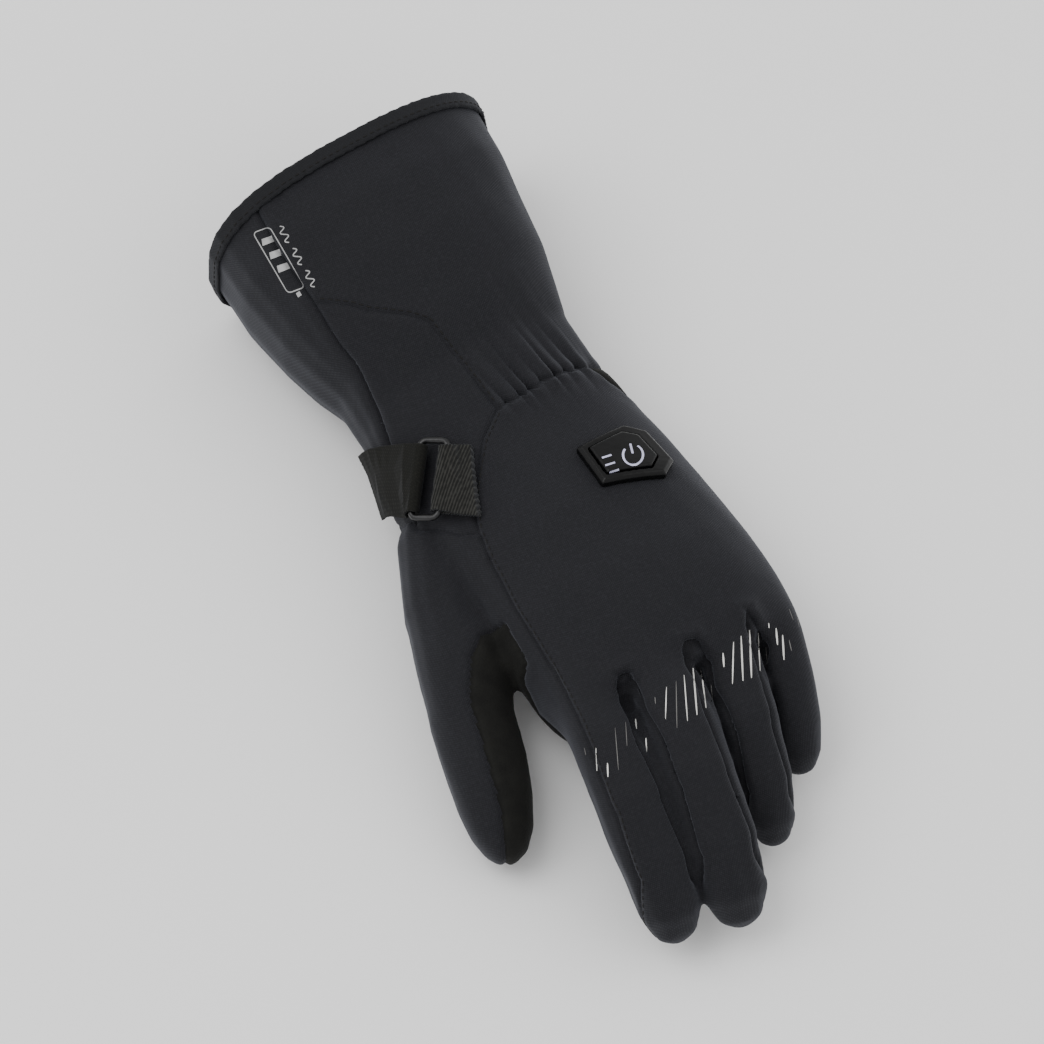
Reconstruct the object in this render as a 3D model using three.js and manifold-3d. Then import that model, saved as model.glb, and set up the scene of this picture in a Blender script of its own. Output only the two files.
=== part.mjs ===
// A padded, battery-heated gauntlet glove for the left hand, lying on its palm.
// Millimetres, +Z up from the surface it lies on, fingertips towards -Y, thumb towards -X.
// The origin is on that surface, under the middle of the glove's outline.
import * as THREE from "three";
import { mergeVertices } from "three/addons/utils/BufferGeometryUtils.js";
import Module from "manifold-3d";

const wasm = await Module();
wasm.setup();

// Lengths along the glove
const cuffLength = 113.5;
const palmLength = 124;
const wristToOrigin = 43.7;

// Cuff and hand, outside sizes
const mouthWidth = 115;
const mouthHeight = 73;
const wristWidth = 88;
const wristHeight = 51;
const palmWidth = 102;
const palmHeight = 60;
const mouthYawDeg = 9;
const wristOffset = 2.5;

// Walls: padded cloth with its lining
const cuffWall = 3;
const backWall = 4;
const sideWall = 3.5;
const palmWall = 3;
const fingerWall = 3.2;

// Seams and fits
const seamGap = 0.3;
const seatGap = 0.3;
const bandSeat = 0.6;

// Gathers where the elastic draws the back of the wrist in
const gatherCount = 8;
const gatherDepth = 1.8;
const gatherReach = 16;

// Hem binding round the mouth
const bindingWidth = 5.5;
const bindingThickness = 1.2;

// Wrist strap, elastic and ring
const webbingWidth = 25;
const webbingThickness = 1.4;
const elasticWidth = 24;
const elasticThickness = 1.6;
const elasticLength = 11;
const ringWire = 2.6;
const ringOpening = 8.4;
const ringSlack = 0.6;
const freeRunLength = 26;
const freeEndRise = 1.4;
const strapRoom = 4.6;

// Heating control on the back of the hand
const controlLength = 30;
const controlWidth = 27;
const controlRise = 3.4;
const controlChamfer = 1.2;
const keyMargin = 3.6;
const keyShift = 1.3;
const keyRise = 1;
const keyRecess = 1.6;

// Sections of the cuff from the mouth (0) to the wrist (1). side is the centre's way from the wrist's
// as a share of the mouth's width, narrow and lower go from the mouth's size (0) to the wrist's (1),
// lift is a share of the room under the wrist for the strap.
const cuffRows = [
  { at: 0.0, side: -0.086, narrow: 0.0, lower: 0.0, lift: 0.0, square: 2.7 },
  { at: 0.2, side: -0.072, narrow: 0.1, lower: 0.0, lift: 0.0, square: 2.7 },
  { at: 0.4, side: -0.05, narrow: 0.33, lower: 0.15, lift: 0.0, square: 2.6 },
  { at: 0.53, side: -0.03, narrow: 0.56, lower: 0.38, lift: 0.4, square: 2.6 },
  { at: 0.64, side: -0.014, narrow: 0.82, lower: 0.62, lift: 1.0, square: 2.5 },
  { at: 0.78, side: -0.01, narrow: 1.0, lower: 0.9, lift: 1.0, square: 2.5 },
  { at: 0.9, side: 0.0, narrow: 0.94, lower: 0.98, lift: 1.0, square: 2.5 },
  { at: 1.0, side: 0.0, narrow: 0.84, lower: 1.0, lift: 1.0, square: 2.5 },
];

// Sections of the hand from the wrist (0) to the finger roots (1). shift is the way towards the
// little finger as a share of the palm's width, top and sole are shares of the palm's height, and
// yaw is a share of the mouth's.
const handRows = [
  { at: 0.0, shift: 0.0, width: 0.925, top: 0.92, sole: 0.077, yaw: 1.0, square: 2.5 },
  { at: 0.06, shift: 0.01, width: 0.935, top: 0.925, sole: 0.06, yaw: 0.95, square: 2.5 },
  { at: 0.12, shift: 0.02, width: 0.945, top: 0.93, sole: 0.03, yaw: 0.9, square: 2.5 },
  { at: 0.22, shift: 0.045, width: 0.965, top: 0.95, sole: -0.02, yaw: 0.8, square: 2.5 },
  { at: 0.42, shift: 0.09, width: 0.985, top: 1.0, sole: -0.05, yaw: 0.65, square: 2.5 },
  { at: 0.66, shift: 0.135, width: 0.99, top: 1.02, sole: 0.03, yaw: 0.6, square: 2.45 },
  { at: 0.86, shift: 0.165, width: 0.985, top: 1.0, sole: 0.14, yaw: 0.65, square: 2.4 },
  { at: 0.96, shift: 0.17, width: 0.965, top: 0.97, sole: 0.24, yaw: 0.7, square: 2.3 },
  { at: 1.0, shift: 0.17, width: 0.9, top: 0.87, sole: 0.33, yaw: 0.7, square: 2.2 },
];

// Fingers. root is the centre at the palm's end and drift the tip's way from it, as shares of the
// palm's width, back is how far the root lies towards the wrist as a share of the palm's length,
// and rise is the root's height as a share of the palm's. The pitches are at the three joints.
const fingers = [
  { name: "index", root: -0.358, drift: -0.03, back: -0.03, rise: 0.72, pitch: [8, 26, 46] },
  { name: "middle", root: -0.098, drift: -0.07, back: 0.0, rise: 0.775, pitch: [8, 27, 47] },
  { name: "ring", root: 0.17, drift: -0.1, back: 0.03, rise: 0.74, pitch: [14, 38, 52] },
  { name: "little", root: 0.398, drift: -0.14, back: 0.06, rise: 0.66, pitch: [20, 42, 54] },
];

// Their widths and heights as shares of the palm's width, and their lengths as shares of its length.
const fingerSizes = {
  index: { width: 0.26, height: 0.255, length: 0.702 },
  middle: { width: 0.2745, height: 0.2647, length: 0.766 },
  ring: { width: 0.211, height: 0.235, length: 0.597 },
  little: { width: 0.191, height: 0.2157, length: 0.4355 },
};
const rootInside = 18;
const webStart = 6;
const webEnd = 19;
const rootPitchShare = 0.4;

// Shares of a finger's length between its joints, and its fullness along it. The hollow leaves out
// the rows that are for the outside only.
const phalanges = [0.5, 0.27, 0.23];
const fingerRows = [
  { at: 0.0, full: 0.76 },
  { at: 0.24, full: 1.0 },
  { at: 0.5, full: 0.99, outsideOnly: true },
  { at: 0.72, full: 0.945 },
  { at: 0.88, full: 0.83 },
  { at: 0.965, full: 0.55 },
  { at: 1.0, full: 0.16 },
];

// Thumb: its centre line as shares of the palm's width, length and height, from the wrist's centre,
// and its fullness.
const thumbWidth = 31;
const thumbHeight = 29;
const thumbRows = [
  { side: -0.15, along: 0.04, rise: 0.48, full: 0.9 },
  { side: -0.345, along: 0.27, rise: 0.44, full: 1.14 },
  { side: -0.425, along: 0.46, rise: 0.42, full: 1.14, outsideOnly: true },
  { side: -0.467, along: 0.635, rise: 0.41, full: 1.12 },
  { side: -0.53, along: 0.8, rise: 0.38, full: 1.0 },
  { side: -0.556, along: 0.94, rise: 0.33, full: 0.97 },
  { side: -0.58, along: 1.06, rise: 0.28, full: 0.88, outsideOnly: true },
  { side: -0.6, along: 1.145, rise: 0.245, full: 0.74 },
  { side: -0.617, along: 1.2, rise: 0.22, full: 0.52 },
  { side: -0.63, along: 1.23, rise: 0.21, full: 0.2 },
];

// Seams on the body: along runs from the mouth (0) over the wrist (1) to the finger roots (2), and
// the angle runs round the section from the little finger's side (0) over the back (90).
const wristSeam = [
  { along: 1.0, angle: 0 },
  { along: 1.0, angle: 30 },
  { along: 1.0, angle: 60 },
  { along: 1.02, angle: 91 },
  { along: 1.16, angle: 111 },
  { along: 1.34, angle: 131 },
  { along: 1.26, angle: 145 },
  { along: 1.13, angle: 165 },
  { along: 1.04, angle: 195 },
  { along: 1.0, angle: 235 },
  { along: 1.0, angle: 290 },
  { along: 1.0, angle: 330 },
  { along: 1.0, angle: 360 },
];
const cuffSideSeam = [
  { along: -0.1, angle: 127 },
  { along: 0.0, angle: 128 },
  { along: 0.4, angle: 134 },
  { along: 0.86, angle: 150 },
  { along: 1.18, angle: 162 },
];
const cuffLowerSeam = [
  { along: 0.4, angle: 136.5 },
  { along: 0.41, angle: 133 },
  { along: 0.66, angle: 98 },
  { along: 1.05, angle: 91 },
];
const cuffPalmSeams = [
  [
    { along: -0.1, angle: 214 },
    { along: 0.5, angle: 214 },
    { along: 1.06, angle: 205 },
  ],
  [
    { along: -0.1, angle: 326 },
    { along: 0.5, angle: 326 },
    { along: 1.03, angle: 330 },
  ],
];
const backRadialSeam = [
  { along: 1.31, angle: 127 },
  { along: 1.34, angle: 130.6 },
  { along: 1.5, angle: 138 },
  { along: 1.67, angle: 143 },
  { along: 1.84, angle: 146 },
];
const palmUlnarSeam = [
  { along: 0.97, angle: 36 },
  { along: 1.0, angle: 35 },
  { along: 1.06, angle: 30 },
  { along: 1.11, angle: 20 },
  { along: 1.15, angle: 4 },
  { along: 1.25, angle: -12 },
  { along: 1.55, angle: -18 },
  { along: 1.82, angle: -20 },
];
const palmRadialSeam = [
  { along: 1.84, angle: 192 },
  { along: 1.76, angle: 178 },
];
const palmThumbSeam = [
  { along: 1.26, angle: 232 },
  { along: 0.97, angle: 232 },
];

// Seams along the fingers and the thumb: at runs along the digit, and the angle round it. behind is
// how far a slit between two fingers starts behind the end of the palm's hollow, as a share of its
// length.
const fingerSeamAngle = 48;
const slits = [
  { near: 0, far: 1, behind: 0.01 },
  { near: 1, far: 2, behind: 0.028 },
  { near: 2, far: 3, behind: 0.064 },
];
const outerSeamFrom = 0.3;
const fingerSeamTaper = [
  { at: 0.0, share: 0.62 },
  { at: 0.2, share: 0.66 },
  { at: 0.36, share: 1.0 },
  { at: 0.6, share: 1.0 },
  { at: 0.8, share: 0.8 },
  { at: 0.92, share: 0.0 },
  { at: 1.2, share: 0.0 },
];
const thumbTopSeam = [
  { at: 0.5, angle: 72 },
  { at: 0.56, angle: 86 },
  { at: 0.64, angle: 92 },
  { at: 0.78, angle: 92 },
  { at: 0.9, angle: 90 },
];
const thumbSoleSeam = [
  { at: 0.9, angle: 270 },
  { at: 0.78, angle: 268 },
  { at: 0.6, angle: 268 },
  { at: 0.42, angle: 268 },
];

// The strap's route: where its middle lies on the body, and how far its cuff-side edge turns.
const strapRoute = [
  { along: 1.2, angle: 115, turn: -9 },
  { along: 1.135, angle: 127, turn: -9 },
  { along: 1.055, angle: 145, turn: -8 },
  { along: 0.97, angle: 166, turn: -4 },
  { along: 0.9, angle: 190, turn: 0 },
  { along: 0.86, angle: 212, turn: 0 },
  { along: 0.83, angle: 236, turn: 0 },
  { along: 0.81, angle: 260, turn: 0 },
];

// Control outline as shares of its length and width, and its place on the body.
const controlOutline = [
  { along: -0.5, across: -0.32 },
  { along: 0.28, across: -0.5 },
  { along: 0.5, across: -0.28 },
  { along: 0.44, across: 0.32 },
  { along: 0.2, across: 0.5 },
  { along: -0.5, across: 0.38 },
];
const controlPlace = { along: 1.357, angle: 66.8 };
const controlTurnDeg = -3;

// Section shapes: the widest place as a share of a section's height, how square a digit is, and the
// angles between the corners of a section.
const beltShare = 0.47;
const digitSquare = 2.25;
const outerStepDeg = 15;
const innerStepDeg = 20;
const fullTurn = 360;

// Sides of the digits' sections, outside and in the hollow
const fingerSides = 10;
const fingerHollowSides = 8;
const thumbSides = 14;
const thumbHollowSides = 10;

// Blades: how far they reach outside the skin and into the hollow, and how far apart their rows are
const bladeOutside = 6;
const wristBladeOutside = 12;
const digitBladeOutside = 2;
const backBladeOutside = 10;
const palmBladeOutside = 30;
const bladeInside = 10;
const bladeTurnDeg = 30;
const bladeStep = 0.4;
const bladePast = 1.04;

// The blade between the thumb and the palm where it crosses the web between them: from the body's
// side to the thumb's, outside the skin and in the hollow.
const thumbWeb = {
  bodyOuter: { along: 1.72, angle: 150, grow: 14 },
  bodyInner: { along: 1.7, angle: 200, grow: -16 },
  thumbOuter: { at: 0.5, angle: 60, grow: 8 },
  thumbInner: { along: 1.58, angle: 195, grow: -14 },
};

const radians = THREE.MathUtils.degToRad;
const lerp = THREE.MathUtils.lerp;
const wristY = wristToOrigin;
const mouthY = wristY + cuffLength;
const rootY = wristY - palmLength;
const mouthYaw = radians(mouthYawDeg);
const cuffFloor = bindingThickness + seatGap;

// A column of a table at a place between its rows.
function column(rows, name, at, key = "at") {
  const last = rows.length - 1;
  if (at <= rows[0][key]) return rows[0][name];
  for (let i = 0; i < last; i++) {
    if (at > rows[i + 1][key]) continue;
    const share = (at - rows[i][key]) / (rows[i + 1][key] - rows[i][key]);
    return lerp(rows[i][name], rows[i + 1][name], share);
  }
  return rows[last][name];
}

// A section of the body at a place between the mouth (0), the wrist (1) and the finger roots (2).
function bodySection(along) {
  const wristTop = strapRoom + wristHeight;
  if (along <= 1) {
    const lift = column(cuffRows, "lift", along);
    const height = lerp(mouthHeight, wristHeight, column(cuffRows, "lower", along));
    return {
      x: wristOffset + column(cuffRows, "side", along) * mouthWidth,
      y: mouthY - along * cuffLength,
      yaw: mouthYaw,
      half: lerp(mouthWidth, wristWidth, column(cuffRows, "narrow", along)) / 2,
      top: lerp(cuffFloor, strapRoom, lift) + height,
      sole: lerp(cuffFloor, strapRoom, lift),
      square: column(cuffRows, "square", along),
      floor: cuffFloor,
    };
  }
  const at = along - 1;
  const blend = THREE.MathUtils.smoothstep(at, 0, 0.15);
  return {
    x: wristOffset + column(handRows, "shift", at) * palmWidth,
    y: wristY - at * palmLength,
    yaw: mouthYaw * column(handRows, "yaw", at),
    half: (column(handRows, "width", at) * palmWidth) / 2,
    top: lerp(wristTop, column(handRows, "top", at) * palmHeight, blend),
    sole: lerp(strapRoom, column(handRows, "sole", at) * palmHeight, blend),
    square: column(handRows, "square", at),
    floor: 0,
  };
}

// A point of the body at an angle in degrees, moved out by grow at its sides, top and sole.
function bodyPoint(along, angle, grow) {
  const section = bodySection(along);
  const { side, top, sole } = typeof grow === "number" ? { side: grow, top: grow, sole: grow } : grow;
  const belt = lerp(section.sole, section.top, beltShare);
  const power = 2 / section.square;
  const c = Math.cos(radians(angle));
  const s = Math.sin(radians(angle));
  const across = Math.sign(c) * Math.abs(c) ** power * (section.half + side);
  const reach = s >= 0 ? section.top - belt + top : belt - section.sole + sole;
  return new THREE.Vector3(
    section.x + across * Math.cos(section.yaw),
    section.y + across * Math.sin(section.yaw),
    belt + Math.sign(s) * Math.abs(s) ** power * reach,
  );
}

// How far the gathers draw the surface in at a place and an angle. They run out sooner on the hand
// than on the cuff, and at both ends of the elastic.
const gatherFrom = 16;
const gatherTo = 96;
const gatherFade = 3;
const gatherHandFade = 1.5;
const gatherEnds = 5;
function gatherAt(along, angle) {
  const share = (angle - gatherFrom) / (gatherTo - gatherFrom);
  if (share <= 0 || share >= 1) return 0;
  const distance = (along - 1) * (along < 1 ? cuffLength : palmLength * gatherHandFade);
  const fade = Math.exp(-gatherFade * (distance / gatherReach) ** 2);
  const ends = Math.min(1, gatherEnds * share, gatherEnds * (1 - share));
  return gatherDepth * fade * ends * (0.5 - 0.5 * Math.cos(share * gatherCount * 2 * Math.PI));
}

// Angles round a section, close together where the gathers are.
function sectionAngles(plainStep, gathered) {
  const angles = [];
  const from = gathered ? gatherFrom : 0;
  const to = gathered ? gatherTo : 0;
  const foldSteps = gathered ? gatherCount * 2 : 0;
  for (let i = 0; i < foldSteps; i++) angles.push(lerp(from, to, i / foldSteps));
  const plainSteps = Math.round((fullTurn - (to - from)) / plainStep);
  for (let i = 0; i < plainSteps; i++) angles.push(lerp(to, from + fullTurn, i / plainSteps));
  return angles;
}

// A closed solid through rings of points. A looped one joins its last ring to its first. The two
// faces of a sheet have their diagonals the same way, so that it keeps its thickness where it twists.
function loft(rings, { looped = false, sheet = false } = {}) {
  const count = rings[0].length;
  const points = rings.flat();
  const triangles = [];
  const spans = looped ? rings.length : rings.length - 1;
  for (let r = 0; r < spans; r++) {
    const next = ((r + 1) % rings.length) * count;
    for (let i = 0; i < count; i++) {
      const a = r * count + i;
      const b = r * count + ((i + 1) % count);
      const c = next + i;
      const d = next + ((i + 1) % count);
      if (sheet && i === 2) triangles.push(a, b, d, a, d, c);
      else triangles.push(a, b, c, b, d, c);
    }
  }
  if (!looped) {
    const last = (rings.length - 1) * count;
    for (const [ring, first, flip] of [[rings[0], 0, true], [rings[rings.length - 1], last, false]]) {
      const middle = ring.reduce((sum, p) => sum.add(p), new THREE.Vector3()).divideScalar(count);
      points.push(middle);
      for (let i = 0; i < count; i++) {
        const a = first + i;
        const b = first + ((i + 1) % count);
        triangles.push(...(flip ? [points.length - 1, b, a] : [points.length - 1, a, b]));
      }
    }
  }
  const geometry = new THREE.BufferGeometry().setFromPoints(points);
  geometry.setIndex(triangles);
  return solidOf(geometry);
}

// A three.js geometry as a manifold solid, turned the right way round.
function solidOf(geometry) {
  const bare = geometry.clone();
  bare.deleteAttribute("normal");
  bare.deleteAttribute("uv");
  const merged = mergeVertices(bare, 1e-4);
  const vertProperties = new Float32Array(merged.attributes.position.array);
  const triVerts = new Uint32Array(merged.index.array);
  const solid = new wasm.Manifold(new wasm.Mesh({ numProp: 3, vertProperties, triVerts }));
  if (solid.volume() > 0) return solid;
  for (let i = 0; i < triVerts.length; i += 3) {
    [triVerts[i + 1], triVerts[i + 2]] = [triVerts[i + 2], triVerts[i + 1]];
  }
  return new wasm.Manifold(new wasm.Mesh({ numProp: 3, vertProperties, triVerts }));
}

function geometryOf(solid) {
  const mesh = solid.getMesh();
  const geometry = new THREE.BufferGeometry();
  geometry.setAttribute("position", new THREE.BufferAttribute(new Float32Array(mesh.vertProperties), 3));
  geometry.setIndex(new THREE.BufferAttribute(new Uint32Array(mesh.triVerts), 1));
  return geometry;
}

const unionOf = (solids) => solids.reduce((sum, solid) => sum.add(solid));

// Cuff and palm as one closed solid, outside or inset by the walls
const outerPlaces = [
  0, 0.2, 0.4, 0.53, 0.64, 0.78, 0.87, 0.94, 1, 1.04, 1.1, 1.22, 1.42, 1.66, 1.86, 1.96, 2,
];
const innerPlaces = [0, 0.2, 0.4, 0.53, 0.64, 0.78, 0.9, 1, 1.12, 1.42, 1.66, 1.86, 1.96];

function bodyOuter() {
  const angles = sectionAngles(outerStepDeg, true);
  return loft(outerPlaces.map((along) => angles.map((angle) => skinPoint(along, angle, 0))));
}

// A point at a distance from the body's outer skin, with its gathers and its flat underside.
function skinPoint(along, angle, grow) {
  const point = bodyPoint(along, angle, grow - gatherAt(along, angle));
  point.z = Math.max(point.z, bodySection(along).floor - grow);
  return point;
}

function bodyInner() {
  const angles = sectionAngles(innerStepDeg, false);
  const rings = innerPlaces.map((along) => {
    const cuff = along < 1;
    const distance = (along - 1) * palmLength;
    const gathered = gatherDepth * Math.exp(-((distance / gatherReach) ** 2));
    const inset = {
      side: -(cuff ? cuffWall : sideWall),
      top: -(cuff ? cuffWall : backWall) - gathered,
      sole: -(cuff ? cuffWall : palmWall),
    };
    return angles.map((angle) => {
      const point = bodyPoint(along, angle, inset);
      point.z = Math.max(point.z, bodySection(along).floor - inset.sole);
      return point;
    });
  });
  const outside = rings[0].map((point) => point.clone().setY(point.y + 2 * bindingWidth));
  return loft([outside, ...rings]);
}

// A digit: its centre line, its section's size and the table of its fullness.
function fingerDigit(finger) {
  const shares = fingerSizes[finger.name];
  const length = shares.length * palmLength;
  const middle = wristOffset + handRows[handRows.length - 1].shift * palmWidth;
  const lean = Math.atan2(finger.drift * palmWidth, length);
  let at = new THREE.Vector3(
    middle + finger.root * palmWidth,
    rootY + finger.back * palmLength + rootInside,
    finger.rise * palmHeight,
  );
  const points = [at];
  const steps = [rootInside, ...phalanges.map((share) => share * length)];
  const pitches = [finger.pitch[0] * rootPitchShare, ...finger.pitch].map(radians);
  steps.forEach((step, i) => {
    const flat = Math.cos(pitches[i]) * step;
    const turn = i === 0 ? 0 : lean;
    const drop = -Math.sin(pitches[i]) * step;
    at = at.clone().add(new THREE.Vector3(flat * Math.sin(turn), -flat * Math.cos(turn), drop));
    points.push(at);
  });
  const curve = new THREE.CatmullRomCurve3(points, false, "centripetal");
  const width = shares.width * palmWidth;
  const height = shares.height * palmWidth;
  return { curve, rows: fingerRows, width, height };
}

const curveSteps = 20;
function thumbDigit() {
  const points = thumbRows.map(
    (row) =>
      new THREE.Vector3(
        wristOffset + row.side * palmWidth,
        wristY - row.along * palmLength,
        row.rise * palmHeight,
      ),
  );
  const curve = new THREE.CatmullRomCurve3(points, false, "centripetal");
  const lengths = curve.getLengths(curveSteps * (thumbRows.length - 1));
  const total = lengths[lengths.length - 1];
  const rows = thumbRows.map((row, i) => ({ ...row, at: lengths[curveSteps * i] / total }));
  return { curve, rows, width: thumbWidth, height: thumbHeight };
}

// A point of a digit's centre line, which goes straight on past its ends.
function digitCentre(digit, at) {
  const within = THREE.MathUtils.clamp(at, 0, 1);
  const past = (at - within) * digit.curve.getLength();
  return digit.curve.getPointAt(within).addScaledVector(digit.curve.getTangentAt(within), past);
}

// How far along a digit its root passes a place along the glove. The root is straight.
const rootEnd = 0.15;
function placeAt(digit, y) {
  const start = digitCentre(digit, 0).y;
  return (rootEnd * (start - y)) / (start - digitCentre(digit, rootEnd).y);
}

// A point round a digit at an angle in degrees, 0 towards the little finger's side and 90 on top.
function digitPoint(digit, at, angle, grow, floor = -Infinity) {
  const within = THREE.MathUtils.clamp(at, 0, 1);
  const tangent = digit.curve.getTangentAt(within);
  const centre = digitCentre(digit, at);
  const side = new THREE.Vector3(-tangent.y, tangent.x, 0).normalize();
  const up = new THREE.Vector3().crossVectors(side, tangent).normalize();
  if (up.z < 0) up.negate();
  if (side.x < 0) side.negate();
  const full = column(digit.rows, "full", within);
  const power = 2 / digitSquare;
  const c = Math.cos(radians(angle));
  const s = Math.sin(radians(angle));
  const a = (digit.width / 2) * full + grow;
  const b = (digit.height / 2) * full + grow;
  centre.addScaledVector(side, Math.sign(c) * Math.abs(c) ** power * a);
  centre.addScaledVector(up, Math.sign(s) * Math.abs(s) ** power * b);
  centre.z = Math.max(centre.z, floor);
  return centre;
}

const thickestWall = 0.45;
function digitSolid(digit, steps, wall) {
  const length = digit.curve.getLength();
  const last = 1 - wall / length;
  const rows = wall > 0 ? digit.rows.filter((row) => !row.outsideOnly) : digit.rows;
  const smallest = -thickestWall * Math.min(digit.width, digit.height);
  const rings = rows.map((row) => {
    const grow = Math.max(-wall, smallest * row.full);
    return Array.from({ length: steps }, (_, i) =>
      digitPoint(digit, row.at * last, ((i + 0.5) * fullTurn) / steps, grow, wall),
    );
  });
  return loft(rings);
}

const digits = fingers.map(fingerDigit);
const thumb = thumbDigit();
const handOuter = unionOf([
  bodyOuter(),
  ...digits.map((digit) => digitSolid(digit, fingerSides, 0)),
  digitSolid(thumb, thumbSides, 0),
]);
const handInner = unionOf([
  bodyInner(),
  ...digits.map((digit) => digitSolid(digit, fingerHollowSides, fingerWall)),
  digitSolid(thumb, thumbHollowSides, fingerWall),
]);
const shell = handOuter.subtract(handInner);

// Cutting blades, as thick as the gap that a seam leaves between its two panels. Each row is a point
// outside the surface and one in the hollow.
function blade(rows, looped = false) {
  const half = seamGap / 2;
  const count = rows.length;
  const rings = rows.map(([outer, inner], i) => {
    const before = rows[looped ? (i + count - 1) % count : Math.max(i - 1, 0)];
    const after = rows[looped ? (i + 1) % count : Math.min(i + 1, count - 1)];
    const run = after[0].clone().add(after[1]).sub(before[0]).sub(before[1]);
    const normal = run.cross(outer.clone().sub(inner)).normalize().multiplyScalar(half);
    return [
      outer.clone().add(normal),
      inner.clone().add(normal),
      inner.clone().sub(normal),
      outer.clone().sub(normal),
    ];
  });
  return loft(rings, { looped, sheet: true });
}

// The rows of a seam on the body, with more between them where they lie far apart.
function bodyCuts(rows, outside = bladeOutside) {
  const fine = [rows[0]];
  for (let i = 1; i < rows.length; i++) {
    const from = rows[i - 1];
    const to = rows[i];
    const turn = Math.abs(to.angle - from.angle) / bladeTurnDeg;
    const steps = Math.ceil(Math.max(turn, Math.abs(to.along - from.along) / bladeStep));
    for (let k = 1; k <= steps; k++) {
      fine.push({
        along: lerp(from.along, to.along, k / steps),
        angle: lerp(from.angle, to.angle, k / steps),
      });
    }
  }
  return fine.map(({ along, angle }) => [
    bodyPoint(along, angle, outside),
    bodyPoint(along, angle, -bladeInside),
  ]);
}

// A cut from a point outside a digit to just past its centre line.
const pastCentre = 2 * seamGap;
function cutThrough(digit, at, outer) {
  const centre = digitCentre(digit, at);
  const beyond = centre.clone().sub(outer).setLength(pastCentre);
  return [outer, centre.add(beyond)];
}
const digitCut = (digit, at, angle) =>
  cutThrough(digit, at, digitPoint(digit, at, angle, digitBladeOutside));

// One side seam of a finger, above or below its middle, from its root to past the tip. Inside the
// palm it is cut straight down.
const seamPlaces = [0.24, 0.4, 0.55, 0.75, 0.92, bladePast];
function fingerSeam(digit, side, upper, from) {
  const places = [from, ...seamPlaces.filter((at) => at > from)];
  return places.map((at) => {
    const lift = fingerSeamAngle * column(fingerSeamTaper, "share", at) * (upper ? 1 : -1);
    const angle = side > 0 ? lift : fullTurn / 2 - lift;
    const outer = digitPoint(digit, at, angle, digitBladeOutside);
    const beyond = at * digit.curve.getLength() - rootInside;
    const inPalm = 1 - THREE.MathUtils.smoothstep(beyond, webStart, webEnd);
    const surface = digitPoint(digit, at, angle, 0);
    const out = new THREE.Vector3(0, 0, upper ? backBladeOutside : -palmBladeOutside);
    outer.lerp(surface.clone().add(out), inPalm);
    return cutThrough(digit, at, outer);
  });
}

const [indexDigit, , , littleDigit] = digits;
const bodyAt = ({ along, angle, grow }) => bodyPoint(along, angle, grow);
const thumbAt = ({ at, angle, grow }) => digitPoint(thumb, at, angle, grow);
const cuts = [
  blade(bodyCuts(wristSeam, wristBladeOutside).slice(1), true),
  blade(bodyCuts(cuffSideSeam)),
  blade(bodyCuts(cuffLowerSeam)),
  ...cuffPalmSeams.map((rows) => blade(bodyCuts(rows))),
  blade([...bodyCuts(backRadialSeam), ...fingerSeam(indexDigit, -1, true, outerSeamFrom)]),
  blade([...bodyCuts(palmUlnarSeam), ...fingerSeam(littleDigit, 1, false, outerSeamFrom)]),
  blade([
    ...fingerSeam(indexDigit, -1, false, outerSeamFrom).reverse(),
    ...bodyCuts(palmRadialSeam),
    [bodyAt(thumbWeb.bodyOuter), bodyAt(thumbWeb.bodyInner)],
    [thumbAt(thumbWeb.thumbOuter), bodyAt(thumbWeb.thumbInner)],
    ...thumbTopSeam.map((row) => digitCut(thumb, row.at, row.angle)),
    digitCut(thumb, bladePast, 90),
  ]),
  blade([
    digitCut(thumb, bladePast, 270),
    ...thumbSoleSeam.map((row) => digitCut(thumb, row.at, row.angle)),
    ...bodyCuts(palmThumbSeam),
  ]),
];
const hollowEnd = innerPlaces[innerPlaces.length - 1];
for (const { near, far, behind } of slits) {
  const y = wristY - (hollowEnd - 1 - behind) * palmLength;
  for (const upper of [true, false]) {
    const first = fingerSeam(digits[near], 1, upper, placeAt(digits[near], y));
    const second = fingerSeam(digits[far], -1, upper, placeAt(digits[far], y));
    const across = [1 / 3, 2 / 3].map((share) =>
      first[0].map((point, i) => point.clone().lerp(second[0][i], share)),
    );
    cuts.push(blade([...first.reverse(), ...across, ...second]));
  }
}

// The shell falls apart into its panels along the seams.
const panels = cuts.reduce((left, cut) => left.subtract(cut), shell).decompose();

// The panel whose cloth is at a point, which lies half way through the wall.
function panelAt(point) {
  const probe = solidOf(new THREE.BoxGeometry(1, 1, 1).translate(point.x, point.y, point.z));
  const shared = panels.map((panel) => panel.intersect(probe).volume());
  return panels[shared.indexOf(Math.max(...shared))];
}

// Hem binding: a band round the outside of the cuff's end, with a lip over the end of its wall.
function mouthLoft(from, to, grow) {
  const angles = sectionAngles(outerStepDeg, true);
  return loft(
    [from, 0, to].map((y) => angles.map((angle) => skinPoint(-y / cuffLength, angle, grow))),
  );
}
const bindingOuter = mouthLoft(seatGap + bindingThickness, -bindingWidth, seatGap + bindingThickness);
const bindingCore = mouthLoft(seatGap, -2 * bindingWidth, seatGap);
const bindingRing = bindingOuter.subtract(bindingCore);
const binding = bindingRing.subtract(bodyInner());

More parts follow.
